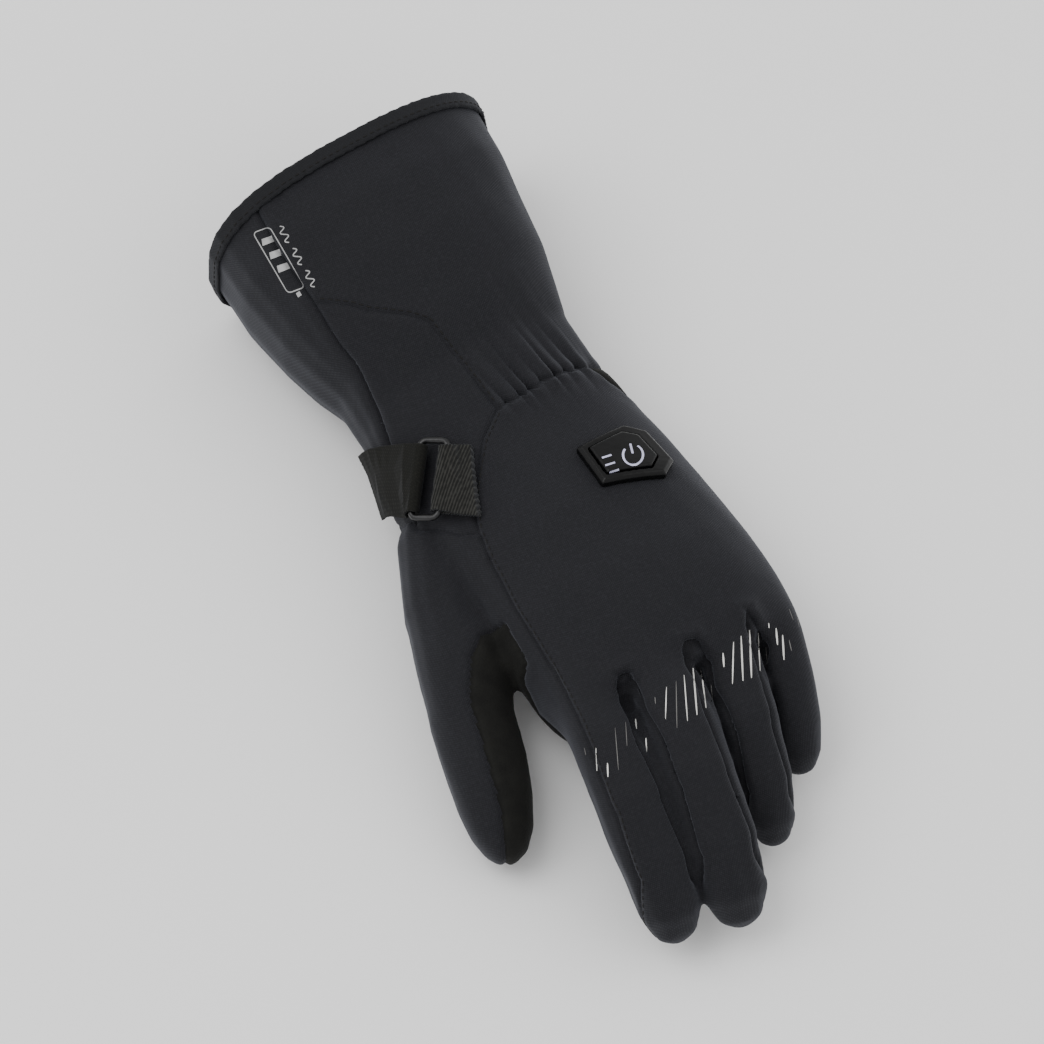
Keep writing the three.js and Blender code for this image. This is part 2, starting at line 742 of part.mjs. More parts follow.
// The strap's route as places at distances from the seam that holds the elastic.
const routeSteps = 8;
const route = [];
for (let i = 0; i <= routeSteps * (strapRoute.length - 1); i++) {
  const row = Math.min(Math.floor(i / routeSteps), strapRoute.length - 2);
  const share = i / routeSteps - row;
  const place = {};
  for (const name of ["along", "angle", "turn"]) {
    place[name] = lerp(strapRoute[row][name], strapRoute[row + 1][name], share);
  }
  const point = bodyPoint(place.along, place.angle, 0);
  const before = route[route.length - 1];
  route.push({ ...place, point, at: before ? before.at + point.distanceTo(before.point) : 0 });
}
const strapEnd = route[route.length - 1].at;

// Where the wire and the bands are tried against the skin, as shares of the webbing's width.
const ringProbes = [-0.6, -0.3, 0, 0.3, 0.6];
const wireSides = 7;

// A band lies flat at the ring, and on the skin from a distance on. Its points are a step apart.
const bandFlat = 1;
const bandSettled = 9;
const bandStep = 4;

// A point over the body at a distance along the route, across it and off the skin.
function routePoint(at, across, height) {
  const turn = (column(route, "turn", at) * across) / (webbingWidth / 2);
  const along = column(route, "along", at) - across / cuffLength;
  return skinPoint(along, column(route, "angle", at) + turn, height);
}

// The ring lies flat over the route. Its plane is as low as the bands below its bars let it be.
const bandThickness = Math.max(webbingThickness, elasticThickness);
const barHeight = bandSeat + bandThickness + seatGap + ringWire / 2;
const nearBar = elasticLength;
const farBar = nearBar + ringOpening + ringWire;
const ringMiddle = (nearBar + farBar) / 2;
const ringAlong = routePoint(farBar, 0, 0).sub(routePoint(nearBar, 0, 0)).normalize();
const ringNormal = routePoint(ringMiddle, webbingWidth / 2, 0)
  .sub(routePoint(ringMiddle, -webbingWidth / 2, 0))
  .cross(ringAlong)
  .normalize();
if (ringNormal.z < 0) ringNormal.negate();
const ringAcross = new THREE.Vector3().crossVectors(ringNormal, ringAlong).normalize();
if (ringAcross.y < 0) ringAcross.negate();
const ringBase = routePoint(ringMiddle, 0, 0);
let skinRise = 0;
for (const at of [nearBar - ringWire, nearBar, ringMiddle, farBar, farBar + ringWire]) {
  for (const across of ringProbes) {
    const rise = routePoint(at, across * webbingWidth, 0).sub(ringBase).dot(ringNormal);
    skinRise = Math.max(skinRise, rise);
  }
}
ringBase.addScaledVector(ringNormal, skinRise);

function ringPoint(at, across, height) {
  return ringBase
    .clone()
    .addScaledVector(ringAlong, at - ringMiddle)
    .addScaledVector(ringAcross, across)
    .addScaledVector(ringNormal, height);
}

// Ring: a round wire bent to a rectangle with round corners, one bar at each band.
const ringHalfAcross = webbingWidth / 2 + ringSlack + ringWire / 2;
const ringCorner = ringWire;
const ringPath = [];
for (const [signAt, signAcross, from] of [[1, 1, 0], [-1, 1, 90], [-1, -1, 180], [1, -1, 270]]) {
  for (const turn of [0, 30, 60, 90]) {
    const angle = radians(from + turn);
    const at = signAt * ((farBar - nearBar) / 2 - ringCorner) + ringCorner * Math.cos(angle);
    const across = signAcross * (ringHalfAcross - ringCorner) + ringCorner * Math.sin(angle);
    const radial = new THREE.Vector3()
      .addScaledVector(ringAlong, Math.cos(angle))
      .addScaledVector(ringAcross, Math.sin(angle));
    ringPath.push({ centre: ringPoint(ringMiddle + at, across, barHeight), radial });
  }
}
const ring = loft(
  ringPath.map(({ centre, radial }) =>
    Array.from({ length: wireSides }, (_, i) => {
      const angle = radians((i * fullTurn) / wireSides);
      return centre
        .clone()
        .addScaledVector(radial, (ringWire / 2) * Math.cos(angle))
        .addScaledVector(ringNormal, (ringWire / 2) * Math.sin(angle));
    }),
  ),
  { looped: true },
);

// A band that lies on the skin, goes round a bar of the ring and comes back over itself. away is the
// side of the bar that it leaves on, lower and upper are how far its two runs go from the bar.
function foldedBand({ bar, away, lower, upper, thickness, width, endRise }) {
  const inner = ringWire / 2 + seatGap;
  const outer = inner + thickness;
  const low = barHeight - outer;
  const side = [];
  const steps = (length) => Math.max(3, Math.round(length / bandStep));
  const runHeight = (distance, length) => {
    const settle = 1 - THREE.MathUtils.smoothstep(distance, bandFlat, bandSettled);
    const lying = low + thickness + seatGap;
    const rise = endRise * (distance / length) ** 2;
    return lerp(lying, barHeight + inner, settle) + rise;
  };
  for (let i = 0; i <= steps(lower); i++) {
    const distance = lower * (1 - i / steps(lower));
    side.push({ distance, near: low + thickness, far: low });
  }
  for (const angle of [30, 60, 90, 120, 150]) side.push({ angle });
  for (let i = 0; i <= steps(upper); i++) {
    const distance = (upper * i) / steps(upper);
    const near = runHeight(distance, upper);
    side.push({ distance, near, far: near + thickness });
  }
  const edge = (row, key, radius) => {
    if (row.angle === undefined) return new THREE.Vector2(row.distance, row[key]);
    const angle = radians(row.angle);
    return new THREE.Vector2(-radius * Math.sin(angle), barHeight - radius * Math.cos(angle));
  };
  const profile = [
    ...side.map((row) => edge(row, "far", outer)),
    ...side.map((row) => edge(row, "near", inner)).reverse(),
  ];
  const shares = [-0.5, -0.17, 0.17, 0.5];
  const points = shares.flatMap((share) =>
    profile.map(({ x: distance, y: height }) => {
      const at = bar + away * distance;
      const settle = THREE.MathUtils.smoothstep(distance, 0, bandSettled);
      const flat = ringPoint(at, share * width, height);
      return flat.lerp(routePoint(at, share * width, height), settle);
    }),
  );
  const count = profile.length;
  const triangles = [];
  for (let r = 0; r + 1 < shares.length; r++) {
    for (let i = 0; i < count; i++) {
      const a = r * count + i;
      const b = r * count + ((i + 1) % count);
      triangles.push(a, b, a + count, b, b + count, a + count);
    }
  }
  const last = (shares.length - 1) * count;
  for (let a = 0; a + 1 < side.length; a++) {
    const b = a + 1;
    const c = count - 1 - b;
    const d = count - 1 - a;
    triangles.push(b, a, d, b, d, c);
    triangles.push(...[a, b, c, a, c, d].map((corner) => corner + last));
  }
  const geometry = new THREE.BufferGeometry().setFromPoints(points);
  geometry.setIndex(triangles);
  return solidOf(geometry);
}
const strap = foldedBand({
  bar: farBar,
  away: 1,
  lower: strapEnd - farBar,
  upper: freeRunLength,
  thickness: webbingThickness,
  width: webbingWidth,
  endRise: freeEndRise,
});
const elastic = foldedBand({
  bar: nearBar,
  away: -1,
  lower: nearBar,
  upper: nearBar,
  thickness: elasticThickness,
  width: elasticWidth,
  endRise: 0,
});

// A point over the back of the hand, seen from above.
const fitRounds = 6;
function backPoint(x, y, height) {
  let along = controlPlace.along;
  let across = 0;
  for (let i = 0; i < fitRounds; i++) {
    const { x: centre, yaw } = bodySection(along);
    across = (x - centre) / Math.cos(yaw);
    along = 1 + (wristY - y + across * Math.sin(yaw)) / palmLength;
  }
  const section = bodySection(along);
  const cosine = Math.min(1, Math.abs(across) / (section.half + height)) ** (section.square / 2);
  const angle = THREE.MathUtils.radToDeg(Math.acos(Math.sign(across) * cosine));
  return bodyPoint(along, angle, height);
}

// The control's housing and key follow the curve of the back. Each row of a stack is the outline's
// share and its height over the skin.
const controlCentre = bodyPoint(controlPlace.along, controlPlace.angle, 0);
const nearby = { along: controlPlace.along - 0.03, angle: controlPlace.angle - 4 };
const towardsLittle = bodyPoint(controlPlace.along, nearby.angle, 0).sub(controlCentre);
const towardsWrist = bodyPoint(nearby.along, controlPlace.angle, 0).sub(controlCentre);
const controlNormal = towardsLittle.clone().cross(towardsWrist).normalize();
const controlAlong = towardsLittle.normalize().applyAxisAngle(controlNormal, radians(controlTurnDeg));
const controlAcross = new THREE.Vector3().crossVectors(controlNormal, controlAlong);
const controlEdgeSteps = 3;

function controlStack(rows) {
  return loft(
    rows.map(([share, height, shift = 0]) =>
      controlOutline.flatMap((corner, i) => {
        const next = controlOutline[(i + 1) % controlOutline.length];
        return Array.from({ length: controlEdgeSteps }, (_, k) => {
          const along = lerp(corner.along, next.along, k / controlEdgeSteps) * controlLength * share - shift;
          const across = lerp(corner.across, next.across, k / controlEdgeSteps) * controlWidth * share;
          const { x, y } = controlCentre
            .clone()
            .addScaledVector(controlAlong, along)
            .addScaledVector(controlAcross, across)
            .addScaledVector(controlNormal, height);
          return backPoint(x, y, height);
        });
      }),
    ),
  );
}
const shareWithin = (margin) => 1 - (2 * margin) / controlWidth;
const coreShare = 0.35;
const controlTop = seatGap + controlRise;
const keyFloor = controlTop - keyRecess;
const keyTop = controlTop + keyRise;
const recessShare = shareWithin(keyMargin);
const keyShare = shareWithin(keyMargin + seatGap * 1.5);
const housing = controlStack([
  [coreShare, seatGap],
  [(1 + coreShare) / 2, seatGap],
  [1, seatGap],
  [1, controlTop - controlChamfer],
  [shareWithin(controlChamfer), controlTop],
  [recessShare, controlTop, keyShift],
  [recessShare, keyFloor, keyShift],
  [coreShare, keyFloor, keyShift],
]);
const key = controlStack([
  [coreShare, keyFloor + seatGap, keyShift],
  [keyShare, keyFloor + seatGap, keyShift],
  [keyShare, keyTop - keyRise / 2, keyShift],
  [keyShare * shareWithin(keyRise), keyTop, keyShift],
  [coreShare, keyTop, keyShift],
]);

const finish = (color, roughness, metalness = 0) =>
  new THREE.MeshStandardMaterial({ color, roughness, metalness });
const softshell = finish(0x25262b, 0.85);
const leather = finish(0x2b2c27, 0.8);
const bindingTape = finish(0x1e1f21, 0.9);
const webbing = finish(0x22221d, 0.88);
const elasticCloth = finish(0x1c1c1c, 0.9);
const steel = finish(0x3a3b3e, 0.35, 1);
const rubber = finish(0x17181b, 0.5);

const glove = new THREE.Group();
function place(name, solid, material) {
  const mesh = new THREE.Mesh(geometryOf(solid), material);
  mesh.name = name;
  glove.add(mesh);
}
place("cuff_back", panelAt(bodyPoint(0.3, 60, -cuffWall / 2)), softshell);
place("cuff_lower", panelAt(bodyPoint(0.8, 115, -cuffWall / 2)), softshell);
place("cuff_side", panelAt(bodyPoint(0.4, 170, -cuffWall / 2)), softshell);
place("cuff_palm", panelAt(bodyPoint(0.3, 262, -cuffWall / 2)), softshell);
place("hem_binding", binding, bindingTape);
place("back_panel", panelAt(bodyPoint(1.5, 90, -backWall / 2)), softshell);
place("thumb_panel", panelAt(digitPoint(thumb, 0.7, 180, -fingerWall / 2)), softshell);
place("palm_panel", panelAt(bodyPoint(1.9, 270, -palmWall / 2)), leather);
place("fourchette_index_middle", panelAt(digitPoint(digits[0], 0.6, 0, -fingerWall / 2)), softshell);
place("fourchette_middle_ring", panelAt(digitPoint(digits[1], 0.6, 0, -fingerWall / 2)), softshell);
place("fourchette_ring_little", panelAt(digitPoint(digits[2], 0.6, 0, -fingerWall / 2)), softshell);
place("strap", strap, webbing);
place("strap_ring", ring, steel);
place("strap_elastic", elastic, elasticCloth);
place("control_housing", housing, rubber);
place("control_key", key, rubber);
export default glove;
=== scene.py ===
"""A padded, battery-heated gauntlet glove for the left hand, lying on its palm.

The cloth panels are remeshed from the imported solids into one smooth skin, which is then shaped along
its seams, gathered at the wrist and cut back into its panels.
"""
import math

import bpy
import numpy as np
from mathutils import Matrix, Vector
from mathutils.bvhtree import BVHTree


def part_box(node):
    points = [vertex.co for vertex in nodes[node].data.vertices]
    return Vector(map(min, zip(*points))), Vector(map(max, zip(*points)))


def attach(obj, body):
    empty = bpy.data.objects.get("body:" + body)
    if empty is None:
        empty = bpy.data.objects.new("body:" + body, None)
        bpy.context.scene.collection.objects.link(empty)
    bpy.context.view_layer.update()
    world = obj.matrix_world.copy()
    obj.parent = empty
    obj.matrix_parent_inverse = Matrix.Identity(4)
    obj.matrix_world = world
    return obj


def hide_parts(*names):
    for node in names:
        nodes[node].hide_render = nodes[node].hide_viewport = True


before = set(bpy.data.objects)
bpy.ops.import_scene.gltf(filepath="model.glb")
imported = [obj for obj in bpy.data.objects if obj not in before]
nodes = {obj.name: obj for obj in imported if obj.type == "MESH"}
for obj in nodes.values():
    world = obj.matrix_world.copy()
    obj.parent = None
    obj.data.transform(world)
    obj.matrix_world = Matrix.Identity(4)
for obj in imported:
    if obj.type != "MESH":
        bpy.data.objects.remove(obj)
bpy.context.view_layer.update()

MM = 0.001

# The photograph's view: its angles, and the point of the floor plane at its middle.
VIEW_AZIMUTH = -24
VIEW_ELEVATION = 58
VIEW_WIDTH = 376 * MM
VIEW_DISTANCE = 4.0
VIEW_REACH = 50
SENSOR_WIDTH = 36
VIEW_CENTRE = Vector((3.8, 25.5, 0)) * MM
IMAGE_SIZE = 1044

# Skin. Each round of smoothing moves the points in by the first share and then out by the second.
SMOOTHING_STEPS = (0.5, -0.52)
SKIN_VOXEL = 1.25 * MM
SKIN_SMOOTHING = 60
MOUTH_YAW = math.radians(9)
MOUTH_CUT = 1.3 * MM
HAND_PANELS = [
    "back_panel",
    "thumb_panel",
    "palm_panel",
    "fourchette_index_middle",
    "fourchette_middle_ring",
    "fourchette_ring_little",
]
CUFF_PANELS = ["cuff_back", "cuff_lower", "cuff_side", "cuff_palm"]
PANELS = HAND_PANELS + CUFF_PANELS
LEATHER_PANELS = {"palm_panel"}
FOURCHETTES = [name for name in HAND_PANELS if name.startswith("fourchette")]
LABEL_ROUNDS = 4
LABEL_VOTES = 3
SMALLEST_SLOPE = 0.05
SNAP_SHARE = 0.8

# Seams: how deep they are drawn in, and how the padding swells beside them
SEAM_REACH = 14 * MM
SEAM_FINE = 3.2 * MM
GROOVE_DEPTH = 0.8 * MM
GROOVE_WIDTH = 0.9 * MM
PUFF_HEIGHT = 0.3 * MM
PUFF_PLACE = 3.2 * MM
PUFF_WIDTH = 2.6 * MM
SEAM_STYLES = {
    ("back_panel", "fourchette_index_middle"): (1.2 * MM, 0.6 * MM),
    ("back_panel", "fourchette_middle_ring"): (1.2 * MM, 0.6 * MM),
    ("back_panel", "fourchette_ring_little"): (1.2 * MM, 0.6 * MM),
    ("cuff_back", "cuff_side"): (1.2 * MM, 0.5 * MM),
    ("cuff_lower", "cuff_side"): (1.2 * MM, 0.5 * MM),
    ("cuff_back", "cuff_lower"): (0.5 * MM, 0.25 * MM),
    ("back_panel", "thumb_panel"): (0.7 * MM, 0.3 * MM),
}

# Back of the knuckles
KNUCKLE_PLACE = -74 * MM
KNUCKLE_WIDTH = 20 * MM
KNUCKLE_CLEAR = (0.5 * MM, 5 * MM)
KNUCKLE_HEIGHTS = (24 * MM, 34 * MM)
KNUCKLE_ROUNDS = 90

# Slits and valleys between the finger roots
SLIT_CLOSING = 4.6 * MM
SLIT_LENGTH = 17 * MM
VALLEY_DEPTH = 4.5 * MM
VALLEY_SLOPE = 3 * MM
VALLEY_FACING = (0.25, 0.8)
VALLEY_LENGTH = 16 * MM
VALLEY_ROUNDS = 12
VALLEY_EASING = 2
VALLEY_EASING_MOST = 0.7

# Soft unevenness of the cloth: the number of waves, how their rates spread, then two layers of it
NOISE_WAVES = 10
NOISE_SPREAD = (0.6, 1.5)
UNEVEN_HEIGHT = 0.22 * MM
UNEVEN_SIZE = 38 * MM
CREASE_HEIGHT = 0.12 * MM
CREASE_SIZE = 14 * MM
CREASE_STRETCH = np.array([1.0, 0.45, 1.0])

# Gathers. A warp is a wave in where the tucks lie: its size, rate and start along the seam.
GATHERED_PANELS = {"cuff_back", "back_panel"}
GATHER_COUNT = 8
GATHER_LENGTH = 46 * MM
GATHER_LEAN = 0.12
GATHER_ENDS = 0.07
GATHER_FLAT = 12 * MM
GATHER_ROUNDS = 40
GATHER_FINE = 22 * MM
GATHER_HEIGHT = 2.6 * MM
GATHER_FOLD = 0.7 * MM
GATHER_CUFF_FADE = 12 * MM
GATHER_HAND_FADE = 4 * MM
GATHER_SLIDE = 2.8 * MM
GATHER_SLIDE_REACH = 4 * MM
GATHER_SLIDE_LEVEL = 0.6
GATHER_LEVEL = 0.72
GATHER_ROUNDNESS = 0.75
GATHER_WARPS = [(0.014, 17, 0.8), (0.006, 41, 0)]
GATHER_VARIETY = (0.35, 23, 0.4)
GATHER_FOLD_START = 1
GATHER_FOLD_PLACE = 14 * MM
GATHER_FOLD_WIDTH = 12 * MM
GATHER_CURVE_DEGREE = 4
GATHER_CURVE_STEPS = 200

# Stitches. A stitch's rings are its places along it, its thickness and its rise over the cloth.
STITCH_LENGTH = 2.1 * MM
STITCH_PITCH = 2.9 * MM
STITCH_RADIUS = 0.23 * MM
STITCH_SIDES = 6
STITCH_RINGS = [(-1, 0.35, -0.8), (-0.72, 0.9, 0.2), (0, 1.0, 0.6), (0.72, 0.9, 0.2), (1, 0.35, -0.8)]
SHORTEST_LINE = 12
TOPSTITCHED = [
    ("cuff_back", "cuff_lower", 1.5 * MM),
    ("back_panel", "cuff_lower", 1.6 * MM),
    ("back_panel", "thumb_panel", 1.6 * MM),
]

# Bands, ring, control and binding
STRAP_VOXEL = 0.32 * MM
ELASTIC_VOXEL = 0.27 * MM
RING_VOXEL = 0.3 * MM
BAND_SMOOTHING = 26
RIB_PITCH = 1.1 * MM
RIB_HEIGHT = 0.2 * MM
HOUSING_VOXEL = 0.4 * MM
KEY_VOXEL = 0.35 * MM
MOULD_SMOOTHING = 6
BINDING_VOXEL = 0.7 * MM
BINDING_SMOOTHING = 40
BINDING_STITCH = 3.6 * MM

# Prints, in the photograph's pixels. A stripe has its two ends, its width and a flag for its colour: 1
# for the print with a painted glint, 0 for the print with painted shade.
STROKE_STEP = 1.2
STROKE_LANE = 0.35 * MM
PRINT_LIFT = 0.1 * MM
TAPER_START = 0.06
TAPER_POWER = 0.5
STRIPE_WIDTH = 0.55 * MM
STRIPES = [
    (584.5, 748, 586, 755, 0.5, 0),
    (596, 748, 597, 771, 0.7, 1),
    (607.5, 763, 608, 777, 0.9, 1),
    (615, 728, 618.5, 770, 0.5, 0),
    (625.5, 722, 627, 746, 0.5, 0),
    (635.5, 719, 636.5, 729, 0.9, 1),
    (646, 738, 646.5, 752, 0.9, 1),
    (655, 697, 655.5, 704, 0.5, 0),
    (666.5, 687, 665.5, 719, 0.7, 1),
    (676, 681, 677, 728, 0.6, 0),
    (684, 675, 687.5, 721, 0.8, 1),
    (693, 668, 697, 715, 1.1, 1),
    (701, 670, 706, 708, 0.9, 1),
    (711, 685, 713, 701, 0.5, 0),
    (723, 653, 724, 667, 1.1, 1),
    (733.5, 642, 732.5, 684, 0.9, 1),
    (741, 636, 743, 681, 1.1, 1),
    (749.5, 630, 751.5, 678, 1.3, 1),
    (758, 633, 760, 671, 0.8, 1),
    (766, 647, 767.5, 664, 0.5, 0),
    (768.5, 623, 769, 628, 1.0, 1),
    (776, 628, 777.5, 645, 1.2, 1),
    (782.5, 635, 784, 660, 1.2, 1),
    (789, 640, 791.5, 651, 0.6, 0),
    (789, 609, 793, 620, 0.6, 0),
    (796, 613, 799, 627, 0.6, 0),
]
GAUGE_PLACE = [(253, 233), (292, 300), (283, 222)]
GAUGE_LINE = 0.45 * MM
GAUGE_NUB = 1.6 * MM
GAUGE_BAR = 2.6 * MM

# The gauge's form, as shares of its length and width
GAUGE_CASE = {"low": (0.0, 0.0), "high": (0.9, 0.56), "radius": (0.05, 0.12)}
GAUGE_NUB_ENDS = [(0.93, 0.28), (0.99, 0.28)]
GAUGE_BARS = [0.16, 0.36, 0.56]
GAUGE_BAR_ENDS = (0.1, 0.46)
GAUGE_WAVES = [0.04, 0.37, 0.7]
GAUGE_WAVE_LENGTH = 0.24
GAUGE_WAVE_MIDDLE = 0.84
GAUGE_WAVE_SIZE = 0.1
GAUGE_WAVE_STEPS = 24
GAUGE_WAVE_TURNS = 2

# The marks on the control's key, in the photograph's pixels
MARK_BARS = [
    [(602, 458), (611.5, 455)],
    [(605.5, 465.5), (615, 462.5)],
    [(609.5, 472.5), (619, 469.5)],
]
MARK_CENTRE = (633, 455)
MARK_RADIUS = 10
MARK_TURN = -14
MARK_OPEN = 40
MARK_SWEEP = 280
MARK_BAR_ENDS = (0.15, 1.15)
MARK_STEPS = 30
MARK_LINE = 0.8 * MM
MARK_LIFT = 0.12 * MM

# Colours
SOFTSHELL_DARK = (0.006, 0.0061, 0.0078)
SOFTSHELL_LIGHT = (0.0145, 0.0145, 0.0178)
LEATHER_DARK = (0.0028, 0.0028, 0.0022)
LEATHER_LIGHT = (0.0055, 0.0055, 0.0044)
TAPE_DARK = (0.0075, 0.0078, 0.009)
TAPE_LIGHT = (0.0125, 0.0128, 0.015)
WEBBING_DARK = (0.0045, 0.0045, 0.0033)
WEBBING_LIGHT = (0.0085, 0.0085, 0.0062)
ELASTIC_DARK = (0.006, 0.006, 0.005)
ELASTIC_LIGHT = (0.034, 0.034, 0.03)
STEEL_COLOR = (0.045, 0.045, 0.046)
RUBBER_COLOR = (0.003, 0.0031, 0.0033)
THREAD_COLOR = (0.012, 0.0112, 0.0105)
# The stripes' silver print in two copies: lighter with a painted glint where the knuckles' crowns face
# the light, darker with painted shade where the stripes turn away from it
PRINT_PAINTED_GLINT = (0.75, 0.74, 0.71)
PRINT_PAINTED_SHADE = (0.16, 0.155, 0.15)
PRINT_GAUGE = (0.36, 0.36, 0.36)
MARK_COLOR = (0.62, 0.62, 0.82)
FLOOR_COLOR = (0.97, 0.97, 0.97)
SHEEN_TINT = (0.75, 0.78, 0.9)

# Surfaces: how the threads lie, the fuzz's height beside theirs, the sizes of the fuzz and of the
# cloudy tone in thread pitches, and the weave's part in the tone
WEAVE_TURNS = ((0, math.radians(20), math.radians(45)), (0, math.radians(20), math.radians(-45)))
BAND_TURNS = ((0, 0, math.radians(-33)), (0, math.radians(90), math.radians(57)))
FUZZ = 0.5
FUZZ_SIZE = 0.8
TONE_SIZE = 1.6
WEAVE_TONE = 0.35
DULL_SPECULAR = 0.2
LEATHER_GRAIN = 0.9 * MM
LEATHER_TONE = 6 * MM
SMOOTH_TONE = 3 * MM
SMOOTH_DARKER = 0.8
FLOOR_ROUGHNESS = 0.95

# The wave texture's scale that puts its ridges one unit apart
WAVE_UNIT = math.pi / 10

# Light: the sky, then each lamp's place, size and power
FLOOR_REACH = 6
SKY_STRENGTH = 0.97
LIGHTS = [
    ("key", (-0.9, 0.3, 1.6), 1.4, 16),
    ("fill", (1.2, -0.6, 1.2), 1.6, 6),
]


def view_axes():
    """The camera's right, up and backward directions."""
    azimuth = math.radians(VIEW_AZIMUTH)
    elevation = math.radians(VIEW_ELEVATION)
    flat = math.cos(elevation)
    back = Vector((math.sin(azimuth) * flat, -math.cos(azimuth) * flat, math.sin(elevation)))
    right = Vector((math.cos(azimuth), math.sin(azimuth), 0))
    return right, back.cross(right), back


def add_camera():
    _, _, back = view_axes()
    data = bpy.data.cameras.new("camera")
    data.sensor_width = SENSOR_WIDTH
    half_angle = math.atan(VIEW_WIDTH / 2 / VIEW_DISTANCE)
    data.lens = data.sensor_width / 2 / math.tan(half_angle)
    data.clip_end = VIEW_REACH
    camera = bpy.data.objects.new("camera", data)
    bpy.context.collection.objects.link(camera)
    camera.location = VIEW_CENTRE + back * VIEW_DISTANCE
    camera.rotation_euler = (-back).to_track_quat("-Z", "Y").to_euler()
    bpy.context.scene.camera = camera


def camera_ray(column, row):
    """The start and direction of the camera's ray through a pixel of the photograph."""
    right, up, back = view_axes()
    scale = VIEW_WIDTH / IMAGE_SIZE
    across = (column - IMAGE_SIZE / 2) * scale
    above = (IMAGE_SIZE / 2 - row) * scale
    start = VIEW_CENTRE + back * VIEW_DISTANCE
    direction = VIEW_CENTRE + right * across + up * above - start
    return start, direction.normalized()


# Meshes as arrays


def mesh_arrays(mesh):
    """Vertices and triangles of a mesh."""
    mesh.calc_loop_triangles()
    points = np.empty(len(mesh.vertices) * 3)
    mesh.vertices.foreach_get("co", points)
    triangles = np.empty(len(mesh.loop_triangles) * 3, np.int32)
    mesh.loop_triangles.foreach_get("vertices", triangles)
    return points.reshape(-1, 3), triangles.reshape(-1, 3)


def new_object(name, points, faces, material):
    """A mesh object that rides on the glove."""
    mesh = bpy.data.meshes.new(name)
    mesh.from_pydata([tuple(p) for p in points], [], [tuple(f) for f in faces])
    mesh.polygons.foreach_set("use_smooth", [True] * len(mesh.polygons))
    mesh.materials.append(material)
    mesh.update()
    obj = bpy.data.objects.new(name, mesh)
    bpy.context.collection.objects.link(obj)
    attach(obj, "root")
    return obj


def cad_tree(name):
    points, triangles = mesh_arrays(nodes[name].data)
    return BVHTree.FromPolygons([Vector(p) for p in points], triangles.tolist())


def neighbours(count, faces):
    """Both ends of every edge, each way, and how many edges each vertex has."""
    edges = np.concatenate([np.stack([faces[:, i], faces[:, (i + 1) % faces.shape[1]]], 1)
                            for i in range(faces.shape[1])])
    edges = np.unique(np.sort(edges, axis=1), axis=0)
    both = np.concatenate([edges, edges[:, ::-1]])
    return both, np.bincount(both[:, 0], minlength=count)


def average(values, both, degree):
    """Each vertex's mean over its neighbours."""
    total = np.stack([np.bincount(both[:, 0], values[both[:, 1], axis], minlength=len(degree))
                      for axis in range(values.shape[1])], 1)
    return total / np.maximum(degree, 1)[:, None]


def smoothed(points, both, degree, rounds, fixed=None):
    """Smoothing that keeps the volume: each round moves in and then a little further out."""
    for _ in range(rounds):
        for step in SMOOTHING_STEPS:
            moved = points + step * (average(points, both, degree) - points)
            if fixed is not None:
                moved[fixed] = points[fixed]
            points = moved
    return points


def eased(points, both, degree, weight, rounds):
    """Plain smoothing, as much as each point's weight says."""
    for _ in range(rounds):
        points = points + weight[:, None] * (average(points, both, degree) - points)
    return points


def normals_of(points, faces):
    """Vertex normals, weighted by the faces' areas."""
    a, b, c, d = (points[faces[:, i]] for i in range(4))
    face_normals = np.cross(c - a, d - b)
    normals = np.zeros_like(points)
    for i in range(4):
        for axis in range(3):
            normals[:, axis] += np.bincount(faces[:, i], face_normals[:, axis], minlength=len(points))
    return normals / np.maximum(np.linalg.norm(normals, axis=1), 1e-12)[:, None]


def bump(distance, width):
    """A bell that is 1 at no distance."""
    return np.exp(-((distance / width) ** 2))


def smoothstep(value, low, high):
    share = np.clip((value - low) / (high - low), 0, 1)
    return share * share * (3 - 2 * share)


def noise(points, size, seed=0):
    """Smooth noise around 0, made of a few sines whose directions the seed fixes."""
    rng = np.random.default_rng(seed)
    total = np.zeros(len(points))
    for _ in range(NOISE_WAVES):
        direction = rng.normal(size=3)
        direction *= rng.uniform(*NOISE_SPREAD) / np.linalg.norm(direction)
        total += np.sin(points @ direction * (2 * math.pi / size) + rng.uniform(0, 2 * math.pi))
    return total / math.sqrt(NOISE_WAVES)


# Materials


def new_material(name, color, roughness, metallic=0.0):
    material = bpy.data.materials.new(name)
    material.use_nodes = True
    shader = material.node_tree.nodes["Principled BSDF"]
    shader.inputs["Base Color"].default_value = (*color, 1)
    shader.inputs["Roughness"].default_value = roughness
    shader.inputs["Metallic"].default_value = metallic
    return material, material.node_tree, shader


def node(tree, kind, inputs=None, **settings):
    made = tree.nodes.new(kind)
    for key, value in settings.items():
        setattr(made, key, value)
    for key, value in (inputs or {}).items():
        made.inputs[key].default_value = value
    return made


def math_node(tree, operation, first, second):
    """A sum, product or the like of two sockets or a socket and a number."""
    made = node(tree, "ShaderNodeMath", operation=operation)
    for index, value in enumerate((first, second)):
        if isinstance(value, (int, float)):
            made.inputs[index].default_value = value
        else:
            tree.links.new(value, made.inputs[index])
    return made.outputs[0]


def waves(tree, vector, turn, pitch, shape="SIN"):
    """Fine ridges through space, a pitch apart, turned from the X axis."""
    mapping = node(tree, "ShaderNodeMapping", {"Rotation": turn})
    tree.links.new(vector, mapping.inputs["Vector"])
    wave = node(tree, "ShaderNodeTexWave", {"Scale": WAVE_UNIT / pitch}, wave_profile=shape)
    tree.links.new(mapping.outputs["Vector"], wave.inputs["Vector"])
    return wave.outputs["Fac"]


def grain(tree, vector, size, detail=2.0):
    noise_node = node(tree, "ShaderNodeTexNoise", {"Scale": 1 / size, "Detail": detail})
    tree.links.new(vector, noise_node.inputs["Vector"])
    return noise_node.outputs["Fac"]


def object_space(tree):
    return node(tree, "ShaderNodeTexCoord").outputs["Object"]


